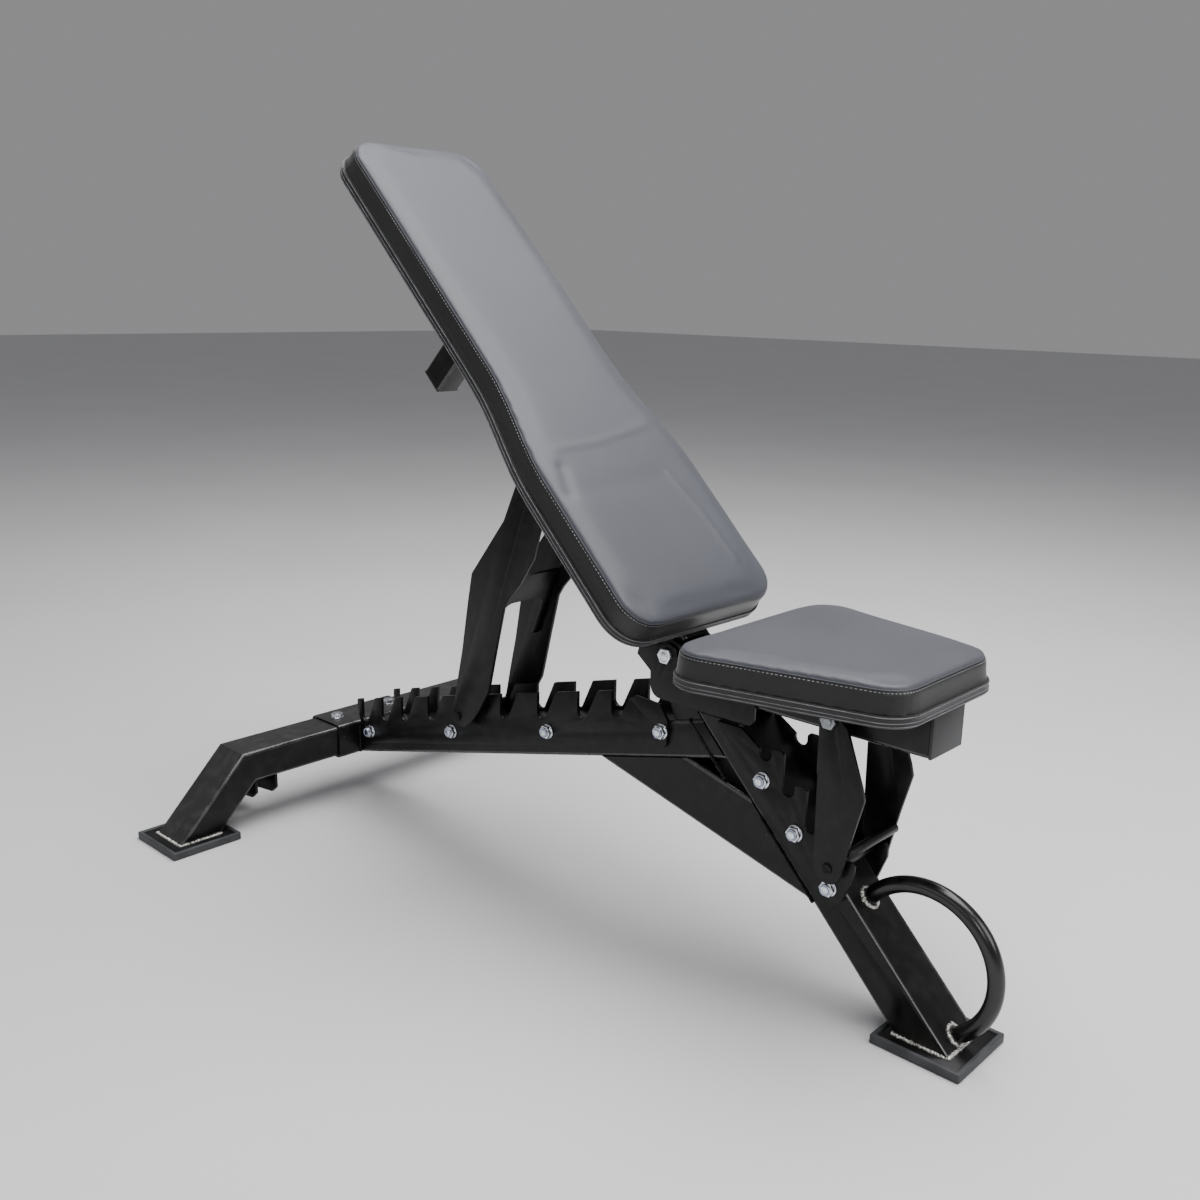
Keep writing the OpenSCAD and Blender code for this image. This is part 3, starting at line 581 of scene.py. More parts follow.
@dataclass(frozen=True)
class Crease:
    """A soft line pressed into a pad's top: its points, its height (below 0 for a dent) and its width."""

    points: tuple[Pair, ...]
    height: float
    width: float

    def lift(self, flat: np.ndarray) -> np.ndarray:
        """Height that the crease adds.

        Args:
            flat: places on the pad, one row of two coordinates for each.

        Returns:
            The height for each place.
        """
        nearest = np.full(len(flat), 1e9)
        for a, b in zip(self.points, self.points[1:]):
            start, along = np.array(a), np.array(b) - np.array(a)
            share = np.clip((flat - start) @ along / (along @ along), 0.0, 1.0)
            gap = np.linalg.norm(flat - (start + share[:, None] * along), axis=1)
            nearest = np.minimum(nearest, gap)
        return self.height * np.exp(-((nearest / self.width) ** 2))


@dataclass
class Pad:
    """A vinyl cushion on a wrapped board, with a seam, stitches and three edge cords."""

    name: str
    body: str
    outline: Callable[[float], list[Pair]]
    base: float
    place: Matrix
    normal: Vector
    pad_node: str
    board_node: str
    creases: tuple[Crease, ...] = ()
    board: float = 14 * MM
    thickness: float = 48 * MM
    inset: float = 2.2 * MM
    crown: float = 5.0 * MM
    evening: int = 36
    roll: float = 8 * MM
    seam_drop: float = 8 * MM
    voxel: float = 5 * MM
    sink: float = 3 * MM
    pressure: float = 4.0
    frames: int = 20
    pinch: float = 1.0 * MM
    pinch_width: float = 2.2 * MM
    wrap_inset: float = 1.6 * MM
    wrap_edge: float = 2.0 * MM
    cord_radius: float = 0.6 * MM
    stitch_pitch: float = 5.2 * MM
    cord_heights: tuple[float, ...] = (2.4 * MM, 6.4 * MM, 12.2 * MM)

    @property
    def top(self) -> float:
        """Height of the cushion's flat top."""
        return self.base + self.thickness

    @property
    def seam(self) -> float:
        """Height of the seam between the top panel and the side band."""
        return self.top - self.seam_drop

    def slab(self, name: str, inset: float, low: float, high: float, pitch: float) -> bpy.types.Object:
        """A flat slab with the pad's outline.

        Args:
            name: the piece's name.
            inset: distance from the outline to the slab's edge.
            low: height of its underside.
            high: height of its top, whose edges are left selected.
            pitch: spacing of its corners.

        Returns:
            The slab, open for editing.
        """
        loop = even_steps(self.outline(inset), pitch)
        clear_selection()
        bpy.ops.mesh.primitive_circle_add(vertices=len(loop), radius=1.0, fill_type="NGON")
        piece = bpy.context.view_layer.objects.active
        piece.name = name
        for vertex, (x, y) in zip(piece.data.vertices, loop):
            vertex.co = (x, y, low)
        edit(piece)
        bpy.ops.mesh.select_all(action="SELECT")
        bpy.ops.mesh.extrude_region_move(TRANSFORM_OT_translate={"value": (0, 0, high - low)})
        return piece

    def swell(self, piece: bpy.types.Object) -> None:
        """Blows the cushion up with a short cloth simulation, its underside held, and caps the movement."""
        mesh = piece.data
        rest = np.array([v.co for v in mesh.vertices])
        floor = self.base + self.board + 0.4 * self.voxel
        held = piece.vertex_groups.new(name="held")
        held.add([v.index for v in mesh.vertices if v.co.z < floor], 1.0, "REPLACE")
        pick(piece)
        cloth = piece.modifiers.new("Cloth", "CLOTH")
        cloth.settings.use_pressure = True
        cloth.settings.uniform_pressure_force = self.pressure
        cloth.settings.effector_weights.gravity = 0.0
        cloth.settings.vertex_group_mass = held.name
        cloth.point_cache.frame_start, cloth.point_cache.frame_end = 1, self.frames
        for number in range(1, self.frames + 1):
            bpy.context.scene.frame_set(number)
        bpy.ops.object.modifier_apply(modifier=cloth.name)
        bpy.context.scene.frame_set(1)
        moved = np.array([v.co for v in piece.data.vertices])
        shift = self.calm(mesh, moved - rest)
        upper = rest[:, 2] > self.seam
        shift[upper, 2] = shift[upper, 2].clip(0.0)
        length = np.linalg.norm(shift, axis=1, keepdims=True).clip(1e-9)
        shift *= self.crown * np.tanh(length / self.crown) / length
        shift[rest[:, 2] < floor] = 0.0
        piece.data.vertices.foreach_set("co", (rest + shift).ravel())
        piece.data.update()
        LOG.info("%s swelled by up to %.1f mm", piece.name, 1000 * float(np.abs(shift).max()))

    def calm(self, mesh: bpy.types.Mesh, shift: np.ndarray) -> np.ndarray:
        """Evens out a movement over neighbouring points, because tight vinyl hardly puckers.

        Args:
            mesh: the cushion's mesh.
            shift: the movement of each point.

        Returns:
            The evened movement.
        """
        ends = np.array([tuple(e.vertices) for e in mesh.edges])
        count = np.bincount(ends.ravel(), minlength=len(shift))[:, None].clip(1)
        for _ in range(self.evening):
            total = np.zeros_like(shift)
            np.add.at(total, ends[:, 0], shift[ends[:, 1]])
            np.add.at(total, ends[:, 1], shift[ends[:, 0]])
            shift = 0.5 * shift + 0.5 * total / count
        return shift

    def cushion(self) -> bpy.types.Object:
        """Models the stuffed part above the board, in the pad's own frame."""
        low = self.base + self.board - self.sink
        piece = self.slab(self.name + "_cushion", self.inset, low, self.top - 0.45 * self.crown, 12 * MM)
        bpy.ops.mesh.bevel(offset=self.roll, segments=4, affect="EDGES")
        bpy.ops.mesh.select_all(action="SELECT")
        bpy.ops.mesh.normals_make_consistent(inside=False)
        apply_modifier(piece, "REMESH", mode="VOXEL", voxel_size=self.voxel)
        self.swell(piece)
        apply_modifier(piece, "SUBSURF", levels=1, render_levels=1)
        smooth(piece, 180)
        self.press(piece)
        return piece

    def press(self, piece: bpy.types.Object) -> None:
        """Presses the creases into the top and draws the side in along the seam."""
        mesh = piece.data
        mesh.update()
        place = np.array([v.co for v in mesh.vertices])
        outward = np.array([v.normal for v in mesh.vertices])
        upper = place[:, 2] > self.seam
        for crease in self.creases:
            place[upper, 2] += crease.lift(place[upper, :2])
        upright = np.abs(outward[:, 2]) < 0.7
        side = np.exp(-(((place[:, 2] - self.seam) / self.pinch_width) ** 2)) * upright
        place -= outward * (self.pinch * side)[:, None]
        mesh.vertices.foreach_set("co", place.ravel())
        mesh.update()

    def round_the_side(
        self, piece: bpy.types.Object, height: float, pitch: float, proud: float
    ) -> list[Vector]:
        """Points on the cushion's side, all round it at one height.

        Args:
            piece: the cushion.
            height: height of the points.
            pitch: their spacing.
            proud: distance by which they stand out of the surface.

        Returns:
            The points.
        """
        surface = BVHTree.FromPolygons(
            [v.co for v in piece.data.vertices], [tuple(p.vertices) for p in piece.data.polygons]
        )
        loop = even_steps(self.outline(0.0), pitch)
        inner = sum((Vector((x, y, 0)) for x, y in loop), Vector()) / len(loop)
        points = []
        for k, (x, y) in enumerate(loop):
            ahead, behind = Vector(loop[(k + 1) % len(loop)]), Vector(loop[k - 1])
            along = (ahead - behind).normalized()
            out = Vector((along.y, -along.x, 0.0))
            if out.dot(Vector((x, y, 0)) - inner) < 0:
                out.negate()
            hit = surface.ray_cast(Vector((x, y, height)) + 0.03 * out, -out)[0]
            if hit is not None:
                points.append(hit + proud * out)
        return points

    def stitches(self, points: Sequence[Vector]) -> bpy.types.Object:
        """A row of short thread stitches through these points."""
        clear_selection()
        bpy.ops.mesh.primitive_uv_sphere_add(segments=6, ring_count=5, radius=1.0)
        first = bpy.context.view_layer.objects.active
        first.name = self.name + "_stitch"
        row = []
        for a, b in zip(points, [*points[1:], points[0]]):
            turn = (b - a).to_track_quat("X", "Z").to_matrix().to_4x4()
            size = Matrix.Diagonal((0.33 * (b - a).length, 0.42 * MM, 0.42 * MM, 1.0))
            row.append(copy_piece(first, Matrix.Translation(a.lerp(b, 0.5)) @ turn @ size))
        bpy.data.objects.remove(first)
        return join(self.name + "_stitches", row)

    def skirt(self) -> bpy.types.Object:
        """The vinyl wrapped round the board, with a softened lower edge."""
        top = self.base + self.board
        piece = self.slab(self.name + "_board_wrap", self.wrap_inset, self.base, top, 8 * MM)
        bpy.ops.mesh.select_all(action="SELECT")
        bpy.ops.mesh.normals_make_consistent(inside=False)
        bpy.ops.mesh.select_all(action="DESELECT")
        select_edges(piece, lambda e: all(v.co.z < self.base + 1e-5 for v in e.verts))
        bpy.ops.mesh.bevel(offset=self.wrap_edge, segments=3, affect="EDGES")
        smooth(piece, 40)
        return piece

    def build(self, finishes: Finishes) -> None:
        """Builds and dresses every piece of the pad."""
        vinyl = PadVinyl(self.name + "_vinyl", tuple(self.normal), self.seam_along_normal()).make()
        piece = self.cushion()
        seam = self.round_the_side(piece, self.seam, 6 * MM, 0.1 * MM)
        row = self.round_the_side(piece, self.seam - 2.6 * MM, self.stitch_pitch, 0.12 * MM)
        wrap = self.skirt()
        welt = tube_along(self.name + "_seam", seam, 0.7 * MM, True)
        thread = self.stitches(row)
        cords = []
        for k, height in enumerate(self.cord_heights):
            loop = [Vector((x, y, self.base + height)) for x, y in even_steps(self.outline(1.5 * MM), 8 * MM)]
            cords.append(tube_along(f"{self.name}_cord_{k}", loop, self.cord_radius, True))
        trim = join(self.name + "_edge_cords", cords)
        for made in (piece, wrap, welt, thread, trim):
            settle(made, self.place)
        dress(piece, self.body, Slot.VINYL, vinyl, self.pad_node)
        # The board wrap lies below the seam and takes the vinyl's band colour, in painted shade.
        dress(wrap, self.body, Slot.VINYL, vinyl, self.board_node)
        wrap.data.materials.append(finishes.cloth)
        for face in wrap.data.polygons:
            face.material_index = int(face.normal.dot(self.normal) < -0.9)
        dress(welt, self.body, Slot.VINYL, vinyl)
        dress(thread, self.body, Slot.VINYL, finishes.thread)
        dress(trim, self.body, Slot.VINYL, finishes.cord)

    def seam_along_normal(self) -> float:
        """Distance of the seam from the row's origin along the pad's normal."""
        return (self.place @ Vector((0, 0, self.seam))).dot(self.normal)


@dataclass(frozen=True)
class BackShape:
    """Outline of the back pad: broad shoulders below a waist and a narrower upper part."""

    start: float = 7 * MM
    length: float = 841 * MM
    half: float = 151 * MM
    half_top: float = 125 * MM
    corner: float = 50 * MM
    waist: Pair = (0.27, 0.50)

    def outline(self, inset: float) -> list[Pair]:
        """The outline drawn in by the inset, with X falling from the pivot up the back."""
        wide, narrow = self.half - inset, self.half_top - inset
        low, high = self.start + inset, self.start + self.length - inset
        radius = self.corner - inset
        ends = [self.start + share * self.length for share in self.waist]
        steps = [i / 8 for i in range(9)]
        bend = [
            (ends[0] + (ends[1] - ends[0]) * t, wide + (narrow - wide) * (1 - math.cos(math.pi * t)) / 2)
            for t in steps
        ]
        half = [
            *arc((low + radius, wide - radius), radius, 180, 90),
            *bend,
            *arc((high - radius, narrow - radius), radius, 90, 0),
        ]
        return [(-x, y) for x, y in mirrored(half)]


@dataclass(frozen=True)
class SeatShape:
    """Outline of the seat pad, which tapers towards its front."""

    front: float = 16 * MM
    length: float = 286 * MM
    half: float = 165 * MM
    half_front: float = 118 * MM
    corner: float = 45 * MM

    def outline(self, inset: float) -> list[Pair]:
        """The outline drawn in by the inset."""
        rear, front = -self.front - self.length + inset, -self.front - inset
        wide, narrow, radius = self.half - inset, self.half_front - inset, self.corner - inset
        taper = math.degrees(math.atan2(wide - narrow, front - rear - 2 * radius))
        return mirrored(
            [
                *arc((rear + radius, wide - radius), radius, 180, 90 - taper),
                *arc((front - radius, narrow - radius), radius, 90 - taper, 0),
            ]
        )


# ---- Steelwork ----


@dataclass
class Steelwork:
    """Tubes, plates and fasteners: softened copies that stand for the CAD nodes, whose edges are sharp."""

    finishes: Finishes
    corner: float = 4.5 * MM
    arris: float = 0.7 * MM

    def copy_of(self, node: str) -> bpy.types.Object:
        """A copy of a CAD node with its doubled corners merged and its flat faces whole, open for editing."""
        piece = bpy.data.objects.new(node + "_softened", frame["nodes"][node].data.copy())
        bpy.context.scene.collection.objects.link(piece)
        pick(piece)
        bpy.ops.mesh.customdata_custom_splitnormals_clear()
        edit(piece)
        bpy.ops.mesh.select_all(action="SELECT")
        bpy.ops.mesh.remove_doubles(threshold=5e-6)
        bpy.ops.mesh.dissolve_limited(angle_limit=math.radians(0.6))
        bpy.ops.mesh.select_all(action="DESELECT")
        return piece

    def tube(self, node: str, runs: Sequence[Vector], corner: float) -> None:
        """A tube whose outer corners are rounded along its runs.

        Args:
            node: the CAD node.
            runs: directions of its straight stretches.
            corner: radius of its corners.
        """
        piece = self.copy_of(node)

        def is_corner(edge: bmesh.types.BMEdge) -> bool:
            """Whether an edge is an outer corner of the tube."""
            if not edge.is_manifold or not edge.is_convex or edge.calc_face_angle() < 0.6:
                return False
            along = (edge.verts[1].co - edge.verts[0].co).normalized()
            return any(abs(along.dot(run)) > 0.995 for run in runs)

        rounded = []
        if select_edges(piece, is_corner):
            bpy.ops.mesh.bevel(offset=corner, segments=4, affect="EDGES")
            piece.update_from_editmode()
            rounded = [face.index for face in piece.data.polygons if face.select]
        bpy.ops.mesh.select_all(action="DESELECT")
        smooth(piece)
        dress(piece, frame["nodes"][node]["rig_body"], Slot.STEEL, self.finishes.coat, node)
        # Painted highlight: the rounded corner faces take the lighter edge coat.
        piece.data.materials.append(self.finishes.edge_highlight_coat)
        for index in rounded:
            piece.data.polygons[index].material_index = 1
        # Painted sheen: upward faces of the rear tubes take the lighter top coat.
        if node.startswith("rear_"):
            piece.data.materials.append(self.finishes.top_sheen_coat)
            for face in piece.data.polygons:
                if face.normal.z > 0.3 and face.material_index == 0:
                    face.material_index = 2

    def soften(
        self, node: str, slot: Slot, finish: bpy.types.Material, width: float, segments: int = 2
    ) -> None:
        """A plate or round part whose sharp edges are broken by a small bevel.

        Args:
            node: the CAD node.
            slot: the record's slot of its finish.
            finish: its material.
            width: width of the bevel.
            segments: number of faces across the bevel.
        """
        piece = self.copy_of(node)
        apply_modifier(
            piece,
            "BEVEL",
            width=width,
            segments=segments,
            limit_method="ANGLE",
            angle_limit=math.radians(38),
            use_clamp_overlap=True,
        )
        smooth(piece)
        dress(piece, frame["nodes"][node]["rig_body"], slot, finish, node)

    def build(self) -> None:
        """Softens and dresses every node that the pads and the handle don't stand for."""
        across = Vector((0, 1, 0))
        drop = (math.cos(LEG_SLOPE), math.sin(LEG_SLOPE))
        back_dir = (BACK_PLACE.to_3x3() @ Vector((1, 0, 0))).normalized()
        tubes = {
            "rear_sleeve": ([across], self.corner),
            "rear_leg_left": ([across, Vector((0, drop[0], drop[1]))], self.corner),
            "rear_leg_right": ([across, Vector((0, drop[0], -drop[1]))], self.corner),
            "spine_tube": ([slope_vector(SPINE_SLOPE)], self.corner),
            "front_leg": ([slope_vector(math.pi - LEG_SLOPE)], self.corner),
            "diagonal_tube": ([slope_vector(-DIAGONAL_SLOPE)], self.corner),
            "back_frame_tube": ([back_dir], self.corner),
            "lift_post": ([(BACK_PLACE.to_3x3() @ Vector((0, 0, 1))).normalized()], 3.5 * MM),
            "seat_frame_tube": ([Vector((1, 0, 0))], self.corner),
        }
        for node, (runs, corner) in tubes.items():
            self.tube(node, runs, corner)
        record_slots = {row["node"]: row["material_slot"] for row in frame["record"]["subparts"]}
        by_slot = {
            Slot.STEEL: (self.finishes.coat, self.arris, 2),
            Slot.ZINC: (self.finishes.zinc, 0.8 * MM, 2),
            Slot.RUBBER: (self.finishes.rubber, 1.8 * MM, 3),
            Slot.PLASTIC: (self.finishes.plastic, 1.0 * MM, 2),
        }
        other = {"back_pad", "seat_pad", "back_board", "seat_board", "lift_handle", *tubes}
        for node, slot_name in record_slots.items():
            if node not in other:
                finish, width, segments = by_slot[Slot(slot_name)]
                if node in ("seat_strut_bolt", "back_strut_bolt"):
                    finish = self.finishes.dull_zinc
                self.soften(node, Slot(slot_name), finish, width, segments)


def slope_vector(angle: float) -> Vector:
    """The direction in the XZ plane at that angle above +X."""
    return Vector((math.cos(angle), 0, math.sin(angle)))


@dataclass
class LiftHandle:
    """The round bar bent into a loop in front of the leg."""

    middle: Vector = field(default_factory=lambda: Vector((-26.97, 0, 95.29)) * MM)
    bend: float = 90 * MM
    bar: float = 10 * MM
    lift: float = 17 * MM
    bury: float = 1.5
    steps: int = 72

    @property
    def half_angle(self) -> float:
        """Half of the loop's angle, up to the leg's face, in degrees."""
        return math.degrees(math.acos(-self.lift / self.bend))

    def end(self, sign: int) -> Vector:
        """Point at which the bar's middle meets the leg's face: sign -1 is the lower end and 1 the upper."""
        angle = math.pi / 2 - LEG_SLOPE + sign * math.radians(self.half_angle)
        return self.middle + self.bend * slope_vector(angle)

    def build(self, finishes: Finishes) -> None:
        """Spins the bar's section round the bend and dresses it."""
        reach = self.half_angle + self.bury
        start = math.pi / 2 - LEG_SLOPE - math.radians(reach)
        clear_selection()
        bpy.ops.mesh.primitive_circle_add(
            vertices=24,
            radius=self.bar,
            location=self.middle + self.bend * slope_vector(start),
            rotation=(0, -start, 0),
            fill_type="NOTHING",
        )
        piece = bpy.context.view_layer.objects.active
        piece.name = "lift_handle_bar"
        settle(piece)
        edit(piece)
        bpy.ops.mesh.select_all(action="SELECT")
        bpy.ops.mesh.spin(
            steps=self.steps, angle=math.radians(2 * reach), center=self.middle, axis=(0, 1, 0)
        )
        bpy.ops.mesh.select_all(action="SELECT")
        bpy.ops.mesh.remove_doubles(threshold=1e-6)
        bpy.ops.mesh.fill_holes(sides=0)
        bpy.ops.mesh.select_all(action="SELECT")
        bpy.ops.mesh.normals_make_consistent(inside=False)
        smooth(piece, 50)
        dress(piece, "frame", Slot.STEEL, finishes.bar_coat, "lift_handle")


# ---- Welds and nylon rings ----


@dataclass
class Welder:
    """Lays weld beads as rows of overlapping flattened drops."""

    finishes: Finishes
    draw: random.Random = field(default_factory=lambda: random.Random(41))
    plate_top: float = 10 * MM
    front_foot: Pair = (-3 * MM, 0.0)
    rear_feet: Pair = (-1092 * MM, 333 * MM)
    half_length: float = 34.8 * MM
    half_width: float = 35 * MM
    plug_ring: float = 4.2 * MM
    strut_face: float = 57.2 * MM
    spine_side: float = 36 * MM
    spine_cut: float = 66 * MM
    spine_rise: float = 62 * MM
    brace_rise: float = 84 * MM
    post_at: float = 563 * MM
    post_half: float = 20 * MM
    tube_under: float = -21.5 * MM
    lug_ends: Pair = (276 * MM, 333 * MM)
    lug_side: float = 30.5 * MM

    def bead(
        self,
        name: str,
        lines: Iterable[Sequence[Vector]],
        radius: float,
        body: str = "frame",
        bare: bool = False,
        *stands_for: str,
    ) -> None:
        """One or more beads as a single piece.

        Args:
            name: the piece's name.
            lines: the corners of each bead's line.
            radius: radius of a drop.
            body: the body that it rides on.
            bare: whether the metal is left bright.
            *stands_for: CAD nodes that it replaces.
        """
        clear_selection()
        bpy.ops.mesh.primitive_ico_sphere_add(subdivisions=2, radius=1.0)
        drop = bpy.context.view_layer.objects.active
        row = []
        for line in lines:
            for a, b in zip(line, line[1:]):
                count = max(1, round((b - a).length / (0.85 * radius)))
                for i in range(count):
                    size = radius * self.draw.uniform(0.82, 1.18)
                    jitter = Vector([self.draw.uniform(-0.18, 0.18) * radius for _ in range(3)])
                    turn = (b - a).to_track_quat("X", "Z").to_matrix().to_4x4()
                    shape = Matrix.Diagonal((0.72 * size, size, 0.9 * size, 1.0))
                    at = Matrix.Translation(a.lerp(b, i / count) + jitter)
                    row.append(copy_piece(drop, at @ turn @ shape))
        bpy.data.objects.remove(drop)
        piece = join(name, row)
        smooth(piece, 180)
        finish = self.finishes.bare_weld if bare else self.finishes.coat
        dress(piece, body, Slot.STEEL, finish, *stands_for)

    def build(self, handle: LiftHandle) -> None:
        """Lays every bead of the bench."""
        along, across = self.half_length, self.half_width
        foot = rectangle(Vector((*self.front_foot, self.plate_top)), along, across)
        self.bead("front_foot_weld", [foot], 3.0 * MM, bare=True)
        x, y = self.rear_feet
        for side, sign in (("left", -1), ("right", 1)):
            foot = rectangle(Vector((x, sign * y, self.plate_top)), across, along)
            self.bead(f"rear_foot_weld_{side}", [foot], 2.6 * MM, bare=True)
        for sign, word in ((-1, "lower"), (1, "upper")):
            self.bead(f"handle_weld_{word}", [self.ring(handle.end(sign), 11.5 * MM)], 3.2 * MM, bare=True)
        self.bead("frame_joint_welds", self.frame_lines(), 2.3 * MM)
        for body, node, pin in (
            ("back_strut", "back_strut_welds", "back_lock_pin"),
            ("seat_strut", "seat_strut_welds", "seat_lock_pin"),
        ):
            low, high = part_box(pin)
            middle = (low + high) / 2
            lines = []
            for y in (-self.strut_face, self.strut_face):
                around = arc((middle.x, middle.z), self.plug_ring, 0, 360, 10)
                ends = [Vector((middle.x + x, y, middle.z)) for x in (-3 * MM, 3 * MM)]
                lines += [[Vector((x, y, z)) for x, z in around], ends]
            self.bead(f"{body}_plug_welds", lines, 2.4 * MM, body, False, node)
        self.bead("back_tube_welds", self.back_lines(), 2.2 * MM, "back")

    def ring(self, middle: Vector, radius: float) -> list[Vector]:
        """A ring round a point, in the plane of the leg's front face."""
        up = slope_vector(math.pi - LEG_SLOPE)
        points = arc((0, 0), radius, 0, 360, 16)
        return [middle + x * 1.08 * up + Vector((0, y, 0)) for x, y in points]

    def frame_lines(self) -> list[list[Vector]]:
        """Lines along the joints of the frame's tubes."""
        spine_low, spine_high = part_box("spine_tube")
        brace_low, brace_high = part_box("diagonal_tube")
        wall, bottom = spine_low.x, spine_low.z
        feet = (
            (spine_high.x, spine_high.z - self.spine_cut, self.spine_rise),
            (brace_high.x, brace_low.z, self.brace_rise),
        )
        lines = []
        for y in (-self.spine_side, self.spine_side):
            lines.append([Vector((wall, y, bottom + z * MM)) for z in (2, 48)])
            for x, z, rise in feet:
                foot = Vector((x, y * 0.98, z))
                lines.append([foot, foot + Vector((-rise / math.tan(LEG_SLOPE), 0, rise))])
        lines.append([Vector((wall, y * MM, bottom + 51 * MM)) for y in (-34, 34)])
        return lines

    def back_lines(self) -> list[list[Vector]]:
        """Lines round the lift post's root and along the strut's lugs."""
        under, half = self.tube_under, self.post_half
        post = rectangle(Vector((-self.post_at, 0, under)), half, half)
        root = [BACK_PLACE @ corner for corner in post]
        lugs = [
            [BACK_PLACE @ Vector((-x, y, under)) for x in self.lug_ends]
            for y in (-self.lug_side, self.lug_side)
        ]
        return [root, *lugs]


def rectangle(middle: Vector, half_x: float, half_y: float) -> list[Vector]:
    """A closed rectangle round a point, level in its own frame."""
    corners = [(-1, -1), (1, -1), (1, 1), (-1, 1), (-1, -1)]
    return [middle + Vector((x * half_x, y * half_y, 0)) for x, y in corners]


@dataclass
class NylonRings:
    """Rings of nylon in the mouths of the locking nuts."""

    major: float = 6.1 * MM
    minor: float = 1.0 * MM

    def build(self, finishes: Finishes) -> None:
        """Places one ring on each nut's outer face."""
        found: list[list[Vector]] = []
        for vertex in frame["nodes"]["frame_nuts"].data.vertices:
            near = [g for g in found if (g[0] - vertex.co).length < 25 * MM]
            if near:
                near[0].append(vertex.co.copy())
            else:
                found.append([vertex.co.copy()])
        rings = []
        for group in found:
            low = Vector([min(p[k] for p in group) for k in range(3)])
            high = Vector([max(p[k] for p in group) for k in range(3)])
            clear_selection()
            bpy.ops.mesh.primitive_torus_add(
                major_radius=self.major,
                minor_radius=self.minor,
                major_segments=24,
                minor_segments=8,
                location=((low.x + high.x) / 2, low.y, (low.z + high.z) / 2),
                rotation=(math.pi / 2, 0, 0),
            )
            rings.append(bpy.context.view_layer.objects.active)
        piece = join("nylon_rings", rings)
        smooth(piece, 180)
        dress(piece, "frame", Slot.PLASTIC, finishes.nylon)


# ---- Studio ----


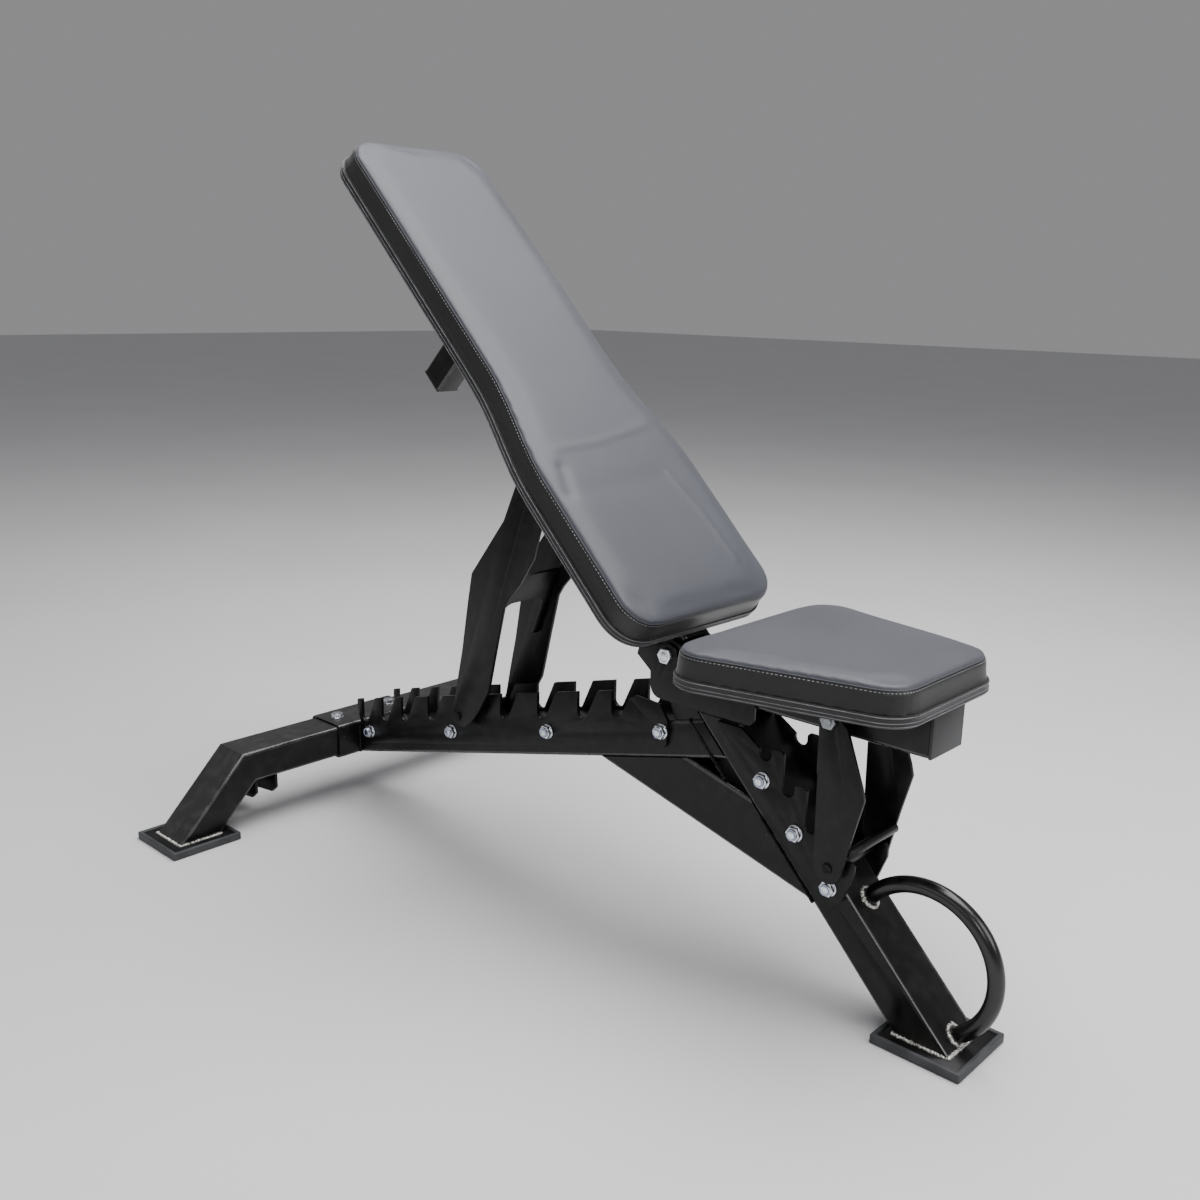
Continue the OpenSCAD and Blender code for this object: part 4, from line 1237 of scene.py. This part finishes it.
@dataclass
class Studio:
    """Pale floor, soft lights and the camera."""

    camera_at: Vector = field(default_factory=lambda: Vector((0.5567, -1.1896, 0.8332)))
    azimuth: float = 42.78
    fall: float = 14.07
    roll: float = 1.15
    lens: float = 36.73
    floor_colour: Colour = (0.60, 0.60, 0.61)
    air: Colour = (0.80, 0.80, 0.82)
    air_strength: float = 0.34

    def floor(self) -> None:
        """A wide plain floor."""
        clear_selection()
        bpy.ops.mesh.primitive_plane_add(size=40)
        floor = bpy.context.view_layer.objects.active
        floor.name = "studio_floor"
        floor.data.materials.append(
            Grained("floor_paint", self.floor_colour, 0.75, 60, 0.05 * MM, cloud=1.5, spread=0.02).make()
        )

    def lamp(self, name: str, place: Sequence[float], size: Pair, power: float, aim: Sequence[float]) -> None:
        """A soft box.

        Args:
            name: its name.
            place: its middle.
            size: its width and height.
            power: its power in watts.
            aim: the point that it faces.
        """
        clear_selection()
        bpy.ops.object.light_add(type="AREA", location=place)
        lamp = bpy.context.view_layer.objects.active
        lamp.name = name
        lamp.data.shape = "RECTANGLE"
        lamp.data.size, lamp.data.size_y = size
        lamp.data.energy = power
        lamp.rotation_euler = (Vector(aim) - Vector(place)).to_track_quat("-Z", "Y").to_euler()

    def world(self) -> None:
        """An even pale surround."""
        world = bpy.data.worlds.new("surround")
        world.use_nodes = True
        shade = world.node_tree.nodes["Background"]
        shade.inputs["Color"].default_value = (*self.air, 1.0)
        shade.inputs["Strength"].default_value = self.air_strength
        bpy.context.scene.world = world

    def camera(self) -> None:
        """The camera, turned, tilted and rolled."""
        turn, fall, roll = (math.radians(a) for a in (self.azimuth, self.fall, self.roll))
        level = Vector((-math.sin(turn), math.cos(turn), 0))
        right = Vector((math.cos(turn), math.sin(turn), 0))
        ahead = math.cos(fall) * level - math.sin(fall) * Vector((0, 0, 1))
        up = math.cos(fall) * Vector((0, 0, 1)) + math.sin(fall) * level
        right, up = (
            math.cos(roll) * right + math.sin(roll) * up,
            math.cos(roll) * up - math.sin(roll) * right,
        )
        clear_selection()
        bpy.ops.object.camera_add()
        camera = bpy.context.view_layer.objects.active
        camera.name = "camera"
        camera.data.lens = self.lens
        camera.data.clip_end = 100.0
        axes = Matrix((right, up, -ahead)).transposed().to_4x4()
        camera.matrix_world = Matrix.Translation(self.camera_at) @ axes
        bpy.context.scene.camera = camera

    def build(self) -> None:
        """Sets the stage."""
        self.floor()
        self.world()
        middle = (-0.5, 0.0, 0.4)
        self.lamp("overhead", (-0.2, 0.3, 3.0), (3.2, 2.6), 190, middle)
        self.lamp("front_right", (2.6, 0.6, 1.9), (1.6, 1.8), 45, middle)
        self.lamp("near_fill", (-0.6, -3.0, 1.4), (2.4, 1.2), 10, middle)
        self.lamp("edge_light", (1.65, -1.95, 1.65), (0.22, 0.9), 11, (-0.15, 0.0, 0.2))
        self.camera()


# ---- The bench ----


def main() -> None:
    """Builds the looks round the frame, in order."""
    logging.basicConfig(level=logging.INFO, format="%(name)s: %(message)s")
    finishes = Finishes()
    Studio().build()
    up = Vector((0, 0, 1))
    back_normal = (BACK_PLACE.to_3x3() @ up).normalized()
    creases = (
        Crease(((-0.278, -0.103), (-0.283, -0.015), (-0.302, 0.087)), 0.75 * MM, 7 * MM),
        Crease(((-0.249, -0.110), (-0.212, -0.121)), -2.2 * MM, 10 * MM),
        Crease(((-0.212, -0.098), (-0.213, -0.019), (-0.218, 0.069)), -0.6 * MM, 16 * MM),
        Crease(((-0.218, 0.070), (-0.154, 0.084), (-0.072, 0.091)), 0.85 * MM, 6 * MM),
    )
    pads = (
        Pad(
            "back",
            "back",
            BackShape().outline,
            28.5 * MM,
            BACK_PLACE,
            back_normal,
            "back_pad",
            "back_board",
            creases,
        ),
        Pad(
            "seat", "seat", SeatShape().outline, 401 * MM, Matrix.Identity(4), up, "seat_pad", "seat_board"
        ),
    )
    for pad in pads:
        pad.build(finishes)
    Steelwork(finishes).build()
    handle = LiftHandle()
    handle.build(finishes)
    Welder(finishes).build(handle)
    NylonRings().build(finishes)
    clear_selection()


if __name__ == "__main__":
    main()
